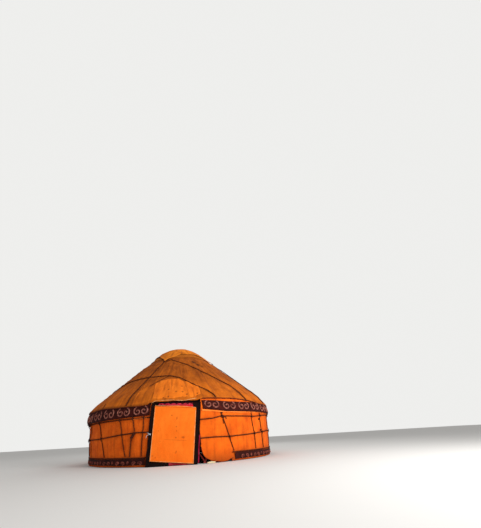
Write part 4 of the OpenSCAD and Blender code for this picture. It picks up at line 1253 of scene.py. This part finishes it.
def rope_ends():
    """Hitches round the ropes' crossings, wound bundles beside the door and rope tails."""
    stamp("rope_hitches", CORD_TREE, coil(2.5, 0.018, 0.028), hitch_rows(), "rope", 0.0065)
    wound = [on_skin(-20.8, 0.694 - SHOULDER_Z, (1, 1, 1), 51, 0.022),
             on_skin(25.3, 1.033 - SHOULDER_Z, (.45, .9, .9), -20, 0.034)]
    stamp("rope_wound_ends", CORD_TREE, coil(9, 0.023, 0.135), wound, "rope", 0.011)
    tails = []
    for way in TAIL_WAYS:
        b, z = smooth_course(way, 24).T
        tails.append(place(b, z - SHOULDER_Z, 0.020 + wall_top(b)))
    ropes("rope_ends", tails, 0.009, 0.055)


# Door

def on_door(x, z, out):
    """A point in front of the door frame's face."""
    return np.stack(np.broadcast_arrays(x, -(FRAME_Y + np.asarray(out, float)), z), -1)


def on_flap(u, v, out):
    """A point on the tilted flap: u across and v up from the middle of its hinge line, out from the
    middle of its thickness."""
    u, v, out = (np.asarray(g, float) for g in (u, v, out))
    x = door_lean(FLAP_TOP) + u * math.cos(FLAP_TILT) + v * math.sin(FLAP_TILT)
    z = FLAP_TOP - u * math.sin(FLAP_TILT) + v * math.cos(FLAP_TILT)
    return np.stack(np.broadcast_arrays(x, -(HINGE_Y + out), z), -1)


def flap_line(x):
    """Height of the flap's hinge line over a place across the door."""
    return FLAP_TOP - (x - door_lean(FLAP_TOP)) * math.tan(FLAP_TILT)


# The flap's small holes and worn marks: x, z, half widths and strength
FLAP_MARKS = [(-.038, 1.103, .014, .012, 1), (.084, 1.045, .009, .020, 1), (.080, 1.018, .009, .018, 1),
              (.065, .841, .013, .010, 1), (.069, .743, .012, .010, .9), (.048, .597, .014, .012, 1),
              (.223, .593, .035, .020, .8), (.052, .295, .009, .018, .9), (.041, .268, .009, .016, .9),
              (-.362, .766, .012, .012, .6), (-.5, .231, .013, .012, .7), (-.43, .195, .013, .012, .7)]
# The turned-over head: its ends across the door, and its upper edge over the hinge line
HEAD_X0, HEAD_X1 = -0.442, 0.55
HEAD_RIM = [(-.45, .028), (-.378, .028), (-.178, .034), (.136, .049), (.35, .044), (.473, .035),
            (.56, .032)]
# Radius of the cords along the flap's edges and the head's upper edge
HEM_R = 0.0055
# The lowest line of the domes over the door
DOME_Z, DOME_FALL = 1.3425, 0.0537
DOMES = (-.29, -.14, .004, .146, .29, .412)


def flap_face(u, v):
    """How far the flap's outer side stands out: even at its head, wavy below."""
    waves = 0.0035 * swell(u, v * 0.4, 0.5, 31) + 0.0012 * swell(u, v, 0.13, 32)
    return 0.006 + soft_step(-v, 0.02, 0.25) * waves


def door_flap():
    """Felt flap that hangs from the lintel and can be lifted, with a cord along its free edges."""
    f, g = unit_grid(100, 84)
    u, v = (g - 0.5) * FLAP_W, -FLAP_H * (1 - f)
    seam = hump(v + 0.73, 0.006) * soft_step(-np.abs(u - 0.06), -0.30, -0.24)
    middle = on_flap(u, v, 0)
    mark = np.maximum(spots(middle[..., 0], middle[..., 2], FLAP_MARKS), 0.35 * seam)
    out = flap_face(u, v) - 0.0015 * seam
    mesh = cloth_mesh("felt_door_flap", u, v, out, FLAP_T, spot=on_flap, mark=mark)
    flap = to_piece("felt_door_flap", mesh, [FINISH["flap"], FINISH["inside"]], body="door_flap",
                    nodes="door_flap")
    half, low = FLAP_W / 2 - 0.005, 0.006 - FLAP_H
    f = np.linspace(0, 1, 50)
    down = -0.03 + (low + 0.03) * f
    ways = [(0 * f - half, down), (0 * f + half, down), (-half + 2 * half * f, 0 * f + low)]
    plain_cord("hem_door_flap", [on_flap(u, v, flap_face(u, v)) for u, v in ways], HEM_R, "hem",
               body="door_flap")


def door_head():
    """The felt that goes on over the flap's roll, nailed to the lintel, with its pale hem."""
    f, g = unit_grid(30, 90)
    x = HEAD_X0 + (HEAD_X1 - HEAD_X0) * g
    z = flap_line(x) - 0.030 + (between(x, HEAD_RIM) + 0.030) * f
    out = 0.0065 + 0.0095 * soft_step(z - flap_line(x), 0.012, 0.018)
    mesh = cloth_mesh("felt_door_head", x, z, out, 0.003, spot=on_door)
    head = to_piece("felt_door_head", mesh, [FINISH["flap"], FINISH["inside"]])
    x = np.linspace(HEAD_X0, HEAD_X1, 80)
    edge = flap_line(x) + between(x, HEAD_RIM)
    plain_cord("hem_door_head", [on_door(x, edge - 0.002, 0.017)], HEM_R, "hem")


def dome_line(x):
    """Height of the line on which the domes over the door stand."""
    return DOME_Z - DOME_FALL * x


def strip_over_door():
    """Patterned strip over the flap: a bright field with a row of couched domes."""
    f, g = unit_grid(18, 110)
    x = -0.371 + 0.85 * g
    low = flap_line(x) + 0.013
    z = low + (1.3975 - 0.0153 * (x + 0.371) - low) * f
    dye = soft_step(dome_line(x) - z, -0.003, 0.003) * soft_step(x, -0.23, -0.15)
    dye = dye * (0.75 + 0.25 * soft_step(x, 0.0, 0.35))
    out = 0.0075 + 0.0008 * swell(x, z, 0.06, 51)
    mesh = cloth_mesh("strip_over_door", x, z, out, 0.004, spot=on_door, mark=dye)
    strip = to_piece("strip_over_door", mesh, FINISH["strip"], nodes="door_valance")
    a = np.linspace(0, math.pi, 13)
    arches = [np.stack([r * np.cos(a), h * np.sin(a), 0 * a], 1)
              for r, h in ((.066, .036), (.048, .025), (.030, .014))]
    where = [(tuple(on_door(x, dome_line(x), 0.008)), (1, 0, -DOME_FALL), (DOME_FALL, 0, 1), (1, 1, 1))
             for x in DOMES]
    stamp("domes_over_door", SEWN_TREE, strings(*arches), where, "strip_pink", 0.0045, strip)


def strip_threshold():
    """Strip on the threshold's face."""
    f, g = unit_grid(6, 42)
    x, z = -0.127 + 0.5 * g, 0.008 + 0.060 * f
    mesh = cloth_mesh("strip_threshold", x, z, np.full_like(x, 0.0055), 0.004, spot=on_door)
    sill = to_piece("strip_threshold", mesh, FINISH["sill_strip"])


def binding_beside_door():
    """Crimson binding that hangs beside the right post."""
    f, g = unit_grid(50, 5)
    z = 0.03 + 0.60 * f
    x = DOOR_W / 2 + door_lean(z) + 0.006 + 0.026 * g + 0.004 * np.sin(z * 14)
    out = -0.022 + 0.004 * swell(z, x * 0, 0.2, 52)
    mesh = cloth_mesh("binding_beside_door", x, z, out, 0.003, spot=on_door)
    binding = to_piece("binding_beside_door", mesh, FINISH["binding"])


def white_tie():
    """White cord tied round the left post: its run, its tail and its knot."""
    run = [(-.553, .697, .010), (-.580, .712, .012), (-.605, .728, .004), (-.625, .735, -.010)]
    tail = [(-.560, .704, .012), (-.600, .69, .006), (-.640, .68, -.022), (-.652, .655, -.028),
            (-.663, .625, -.034)]
    knot = [(-.557 + .009 * math.cos(t), .700 + .012 * math.sin(t), .008 + .0012 * t)
            for t in np.linspace(0, 13, 40)]
    lines = [[on_door(*spot) for spot in way] for way in (run, tail, knot)]
    ropes("cord_white_tie", lines, 0.0055, 0.03, coat="white_cord")


# Sewn ornaments

# Degrees between the pairs of scrolls on both bands, and how far off the skin they are placed
PAIR_STEP = 10.11
SCROLL_LIFT = 0.02


def eave_scrolls():
    """Ram's horns of couched cord in pairs on the eave band."""
    rows = []
    for k in range(33):
        mid = 19.7 + PAIR_STEP * k
        for side in (1, -1):
            b = mid - 1.78 * side
            low, high = (float(z) for z in band_limits(b))
            height = min(high, float(roof_edge(b))) - low
            rise = low + (0.56 if mid < 60 else 0.50) * height
            size = (1.30 * side, 0.84 * height / 0.165, 1)
            rows.append(on_skin(b, float(s_of_z(rise)), size, lift=SCROLL_LIFT))
    motif = horn(0.095, 0.022, 1.2, 100, 0.014)
    band = bpy.data.objects["band_eave"]
    stamp("scrolls_eave", SEWN_TREE, motif, rows, "scroll", 0.0062, band)


def foot_scrolls():
    """Hanging ram's horns in pairs on the foot band, with small curls between them."""
    rows, curls = [], []
    pairs = 31
    for k in range(pairs):
        mid = 341.6 - PAIR_STEP * k
        for side in (1, -1):
            size = (0.80 * side, -0.50, 1)
            rows.append(on_skin(mid - 1.45 * side, 0.095 - SHOULDER_Z, size, lift=SCROLL_LIFT))
        if k < pairs - 1:
            curls.append(on_skin(mid - 5.05, 0.107 - SHOULDER_Z, (0.42, -0.38, 1), lift=SCROLL_LIFT))
    motif = horn(0.095, 0.022, 1.2, 100, 0.026, 26)
    band = bpy.data.objects["band_foot"]
    stamp("scrolls_foot", SEWN_TREE, motif, rows + curls, "foot_scroll", 0.0062, band)


def panel_hem():
    """Line along the front panel's lowest points, a little outside them."""
    points = np.array([v.co for v in bpy.data.objects["felt_roof_front_panel"].data.vertices])
    turn = np.degrees(np.arctan2(points[:, 0], -points[:, 1]))
    edge = []
    for b in np.linspace(-11.2, 14.2, 90):
        near = points[np.abs(turn - b) < 0.35]
        low = near[near[:, 2].argmin()]
        edge.append((low[0], low[1] - 0.004, low[2] + 0.010))
    edge = np.array(edge)
    edge[1:-1] = (edge[:-2] + edge[1:-1] + edge[2:]) / 3
    edge[:, 1] -= 0.004
    return edge


def hems():
    """Dark red bindings on the wall felts beside the door, a dark red cord under the roof's hem that is
    partly a binding and partly painted shade, and the front panel's pale one."""
    z = np.linspace(0.02, 1.36, 70)
    wall = [place(beside_post(z, -1, 0.014), z - SHOULDER_Z, 0.004)]
    z = np.linspace(0.41, 1.39, 60)
    wall.append(place(loose_side(z) + 0.05, s_of_z(z), 0.020))
    b = np.linspace(13.0, 30.2, 60)
    wall.append(place(b, between(b, LOOSE_FOOT) + 0.006 - SHOULDER_Z, 0.018))
    plain_cord("hem_wall_felts", wall, 0.007, "dark_hem_and_shade")
    # A dark red cord under the roof's hem: partly a binding, partly painted shade where the hem shades the
    # wall
    b = np.arange(14.8, 345.0, 0.9)
    under = place(b, s_of_z(roof_edge(b)) - 0.006, 0.031 + wall_top(b))
    plain_cord("hem_roof_felts", [under], 0.010, "dark_hem_and_shade")
    plain_cord("hem_front_panel", [panel_hem()], 0.008, "hem")


# Middle lines (bearing, height) and half widths of the pale strips, and the felts that they lie on; the
# left strip is a painted highlight under the eave band
PALE_STRIPS_AND_HIGHLIGHT = {
    "left": ([(-21.6, 1.078), (-13.4, 1.085)], -21.6, -13.4, 0.013, "felt_wall_front_left"),
    "right": ([(13.9, 1.196), (24.3, 1.150), (37.3, 1.134), (51.3, 1.150), (57, 1.150)], 14.2, 57, 0.017,
              "felt_wall_front_loose"),
}


def pale_strips_and_highlight():
    """A pale strip under the eave band on each side of the door, the left one a painted highlight and the
    right one paler felt, and a scrap at the loose felt's foot."""
    for name, (way, b0, b1, half, under) in PALE_STRIPS_AND_HIGHLIGHT.items():
        f, g = grid(b0, b1, 0, 2 * half, 0.02)
        b = b0 + (b1 - b0) * g
        s = between(b, way) - SHOULDER_Z + (f - 0.5) * 2 * half
        d = 0.0165 + wall_top(b) + 0.002 * swell(np.radians(b) * WALL_R, s, 0.2, 57)
        strip = to_piece("felt_strip_" + name, cloth_mesh("felt_strip_" + name, b, s, d, 0.004),
                         FINISH["pale_felt_and_highlight"])
    f, g = grid(15.5, 19.6, 0, 0.034, 0.012)
    b, s = 15.5 + 4.1 * g, 0.004 + (0.022 + 0.012 * np.sin(g * 3.1)) * f - SHOULDER_Z
    mesh = cloth_mesh("felt_scrap", b, s, 0.048 + 0.004 * f, 0.005)
    scrap = to_piece("felt_scrap", mesh, FINISH["scrap"])


# Inside

def turned_solid(rows, sides=6):
    """A closed solid round the up axis from rows of radius and height, listed from its foot to its top."""
    points, faces = [], []
    for r, h in rows:
        points += [(r * math.cos(2 * math.pi * k / sides), h, -r * math.sin(2 * math.pi * k / sides))
                   for k in range(sides)]
    for i in range(len(rows) - 1):
        for k in range(sides):
            a, c = i * sides + k, i * sides + (k + 1) % sides
            faces.append((a, c, c + sides, a + sides))
    last = (len(rows) - 1) * sides
    return points, [], faces + [tuple(range(sides))[::-1], tuple(range(last, last + sides))]


# The band under the poles: its middle up the slope, its zigzag to each side and its width
POLE_BAND_S = ARC + 0.09
ZIGZAG, POLE_BAND_W = 0.036, 0.068


def zigzag(b):
    """How far up the slope the band's middle lies from POLE_BAND_S: to one side, then the other."""
    return ZIGZAG * (np.abs((b - FIRST_POLE) % (2 * POLE_STEP) - POLE_STEP) / (POLE_STEP / 2) - 1)


def pole_cloths():
    """The woven band that runs in a zigzag under the poles, its wraps round each pole and its tassels."""
    f, b = np.meshgrid(np.linspace(0, 1, 5), np.linspace(3.6, 362.4, 720), indexing="ij")
    s = POLE_BAND_S + zigzag(b) + POLE_BAND_W * (f - 0.5)
    d = -0.0565 + 0.006 * between_poles(b) + 0.0015 * swell(b * 0.04, s, 0.12, 55)
    mesh = cloth_mesh("band_under_poles", b, s, d, 0.004)
    band = to_piece("band_under_poles", mesh, FINISH["pole_band"], nodes="pole_band")
    wraps, tassels = [], []
    for i in range(POLES):
        b = FIRST_POLE + POLE_STEP * i
        s = float(POLE_BAND_S + zigzag(b))
        wraps.append(on_skin(b, s, (1, 1, 1), 90, -POLE_OFF))
        if i % 2 == 0:
            along = (math.cos(math.radians(b)), math.sin(math.radians(b)), 0)
            tassels.append((tuple(place(b + 0.4, s - 0.03, -0.066)), along, (0, 0, 1), (1, 1, 1)))
    stamp("wraps_round_poles", CORD_TREE, coil(3, 0.0245, 0.05, 10), wraps, "pole_band", 0.005)
    tassel = [(.013, -.085), (.015, -.07), (.011, -.028), (.006, -.020), (.010, -.012), (.004, 0)]
    stamp("tassels_under_poles", SOLID_TREE, turned_solid(tassel), tassels, "tassel")


def pole_ropes():
    """Two hair ropes and thin crossing cords under the poles half way up."""
    b = np.linspace(FIRST_POLE, FIRST_POLE + 360, 480)
    lines = [place(b, np.full_like(b, ARC + up), -0.067 + 0.005 * between_poles(b)) for up in (1.02, 1.15)]
    ropes("ropes_under_poles", lines, 0.012, 0.10, coat="inner_rope", nodes="pole_ropes")
    cords = []
    f = np.linspace(0, 1, 60)
    for k in range(6):
        for way in (1, -1):
            cords.append(place(60 * k + way * (4 + 38 * f), ARC + 0.15 + 0.86 * f, -0.058))
    plain_cord("cords_under_poles", cords, 0.003, "inner_rope")


def hexagon_stud(radius, height, narrow):
    """A six-sided stud whose upper end is narrower by the factor narrow."""
    foot = [(radius * math.cos(a), radius * math.sin(a), 0) for a in np.arange(6) * math.pi / 3]
    head = [(narrow * x, narrow * y, height) for x, y, _ in foot]
    sides = [(k, (k + 1) % 6, 6 + (k + 1) % 6, 6 + k) for k in range(6)]
    return foot + head, [], sides + [tuple(range(6, 12)), tuple(range(6))[::-1]]


def lattice_knots():
    """Rawhide knots on the inner side of the lattice's crossings, away from the doorway."""
    knots = []
    for k in range(120):
        t = math.radians(3 * k)
        for step in ((0, 6) if k % 2 == 0 else (3, 9)):
            for way in (1, -1) if step else (1,):
                z = LATTICE_MID + way * LATTICE_R * math.tan(math.radians(step)) / math.tan(LATTICE_TILT)
                r = LATTICE_R / math.cos(math.radians(step)) - 0.0115
                if math.cos(t) <= 0 or abs(r * math.sin(t)) >= DOOR_W / 2 + 0.085:
                    knots.append(((r * math.sin(t), -r * math.cos(t), z), (-math.cos(t), -math.sin(t), 0),
                                  (0, 0, 1), (1, 1, 1)))
    stamp("knots_on_lattice", SOLID_TREE, hexagon_stud(0.009, 0.006, 0.6), knots, "rawhide")


def crown_lashings():
    """Lashings where the crown's bars cross."""
    lashings = []
    for i in (-1, 0, 1):
        for j in (-1, 0, 1):
            x, y = i * BAR_STEP, j * BAR_STEP
            fall = 2 * BAR_ARC - math.sqrt(BAR_ARC ** 2 - x * x) - math.sqrt(BAR_ARC ** 2 - y * y)
            for turn in (45, -45):
                a = math.radians(turn)
                lashings.append(((x, y, BAR_APEX - fall - 0.012), (math.cos(a), math.sin(a), 0),
                                 (-math.sin(a), math.cos(a), 0), (1, 1, 1)))
    stamp("lashings_on_crown", CORD_TREE, coil(2, 0.0255, 0.012, 12), lashings, "inner_rope", 0.0035)


# Which paint each wooden CAD piece gets, by how its name starts
WOOD_COATS = {"lattice": "lattice", "roof_poles": "pole", "crown_ring": "crown_wood",
              "crown_bars": "crown_wood", "door_post": "door_frame", "door_lintel": "door_frame",
              "door_threshold": "door_frame"}


def dress_frame():
    """Gives the wooden CAD pieces their paint."""
    for name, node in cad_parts.items():
        for start, coat in WOOD_COATS.items():
            if name.startswith(start):
                node.data.materials.clear()
                node.data.materials.append(FINISH[coat])


# Camera, light and ground

# The photograph's size in pixels, the focal length in pixels and the picture's principal point
PHOTO_W, PHOTO_H = 481, 528
FOCAL = 283
POINT_X, POINT_Y = 203, 325
SENSOR = 36


def camera():
    """Stands where the photographer stood: low, looking up, turned and tilted a little."""
    turn = math.radians(3.59)
    spot = Vector((10.0 * math.sin(turn), -10.0 * math.cos(turn), 0.557))
    aim, pitch, roll = math.radians(-5.3) + turn, math.radians(21.7), math.radians(-3.32)
    forward = Vector((-math.sin(aim) * math.cos(pitch), math.cos(aim) * math.cos(pitch), math.sin(pitch)))
    level = Vector((math.cos(aim), math.sin(aim), 0))
    above = level.cross(forward)
    right = level * math.cos(roll) + above * math.sin(roll)
    up = above * math.cos(roll) - level * math.sin(roll)
    data = bpy.data.cameras.new("view")
    data.sensor_width = SENSOR
    data.lens = FOCAL / PHOTO_H * SENSOR
    data.shift_x = (PHOTO_W / 2 - POINT_X) / PHOTO_H
    data.shift_y = (POINT_Y - PHOTO_H / 2) / PHOTO_H
    held = bpy.data.objects.new("view", data)
    held.matrix_world = Matrix((
        (right.x, up.x, -forward.x, spot.x),
        (right.y, up.y, -forward.y, spot.y),
        (right.z, up.z, -forward.z, spot.z),
        (0, 0, 0, 1)))
    bpy.context.scene.collection.objects.link(held)
    bpy.context.scene.camera = held


def studio():
    """Pale ground, pale surroundings and soft light, stronger from the right front."""
    reach, low = 60, -0.002
    corners = [(-reach, -reach, low), (reach, -reach, low), (reach, reach, low), (-reach, reach, low)]
    floor_mesh = bpy.data.meshes.new("floor")
    floor_mesh.from_pydata(corners, [], [(0, 1, 2, 3)])
    floor = bpy.data.objects.new("floor", floor_mesh)
    floor_mesh.materials.append(plain_ground("floor_pale", "#DEDCD8"))
    bpy.context.scene.collection.objects.link(floor)
    world = bpy.data.worlds.new("surroundings")
    bpy.context.scene.world = world
    world.use_nodes = True
    tree = world.node_tree
    ground = tree.nodes["Background"]
    ground.inputs["Color"].default_value = paint("#F4F4F4")
    ground.inputs["Strength"].default_value = 0.55
    seen = add(tree, "ShaderNodeBackground", {"Color": paint("#F4F4F2"), "Strength": 0.95})
    path = add(tree, "ShaderNodeLightPath")
    mixed = add(tree, "ShaderNodeMixShader", {0: path.outputs["Is Camera Ray"], 1: ground, 2: seen})
    tree.links.new(mixed.outputs[0], tree.nodes["World Output"].inputs["Surface"])
    for name, spot, size, power in (("key", (7.5, -9.0, 4.6), 5.0, 980), ("fill", (-9, -6, 5), 6.0, 30),
                                    ("back", (1, 9, 8), 6.0, 240)):
        lamp = bpy.data.lights.new(name, "AREA")
        lamp.size, lamp.energy = size, power
        held = bpy.data.objects.new(name, lamp)
        held.location = spot
        held.rotation_euler = (Vector((0, 0, 1.2)) - Vector(spot)).to_track_quat("-Z", "Y").to_euler()
        bpy.context.scene.collection.objects.link(held)
    bpy.context.scene.view_settings.view_transform = "Standard"


camera()
studio()
dress_frame()
wall_felts()
roof_felts()
front_panel()
crown_cover()
crown_round()
eave_band()
base_band()
outer_ropes()
rope_ends()
door_flap()
door_head()
strip_over_door()
strip_threshold()
binding_beside_door()
white_tie()
eave_scrolls()
foot_scrolls()
hems()
pale_strips_and_highlight()
pole_cloths()
pole_ropes()
lattice_knots()
crown_lashings()
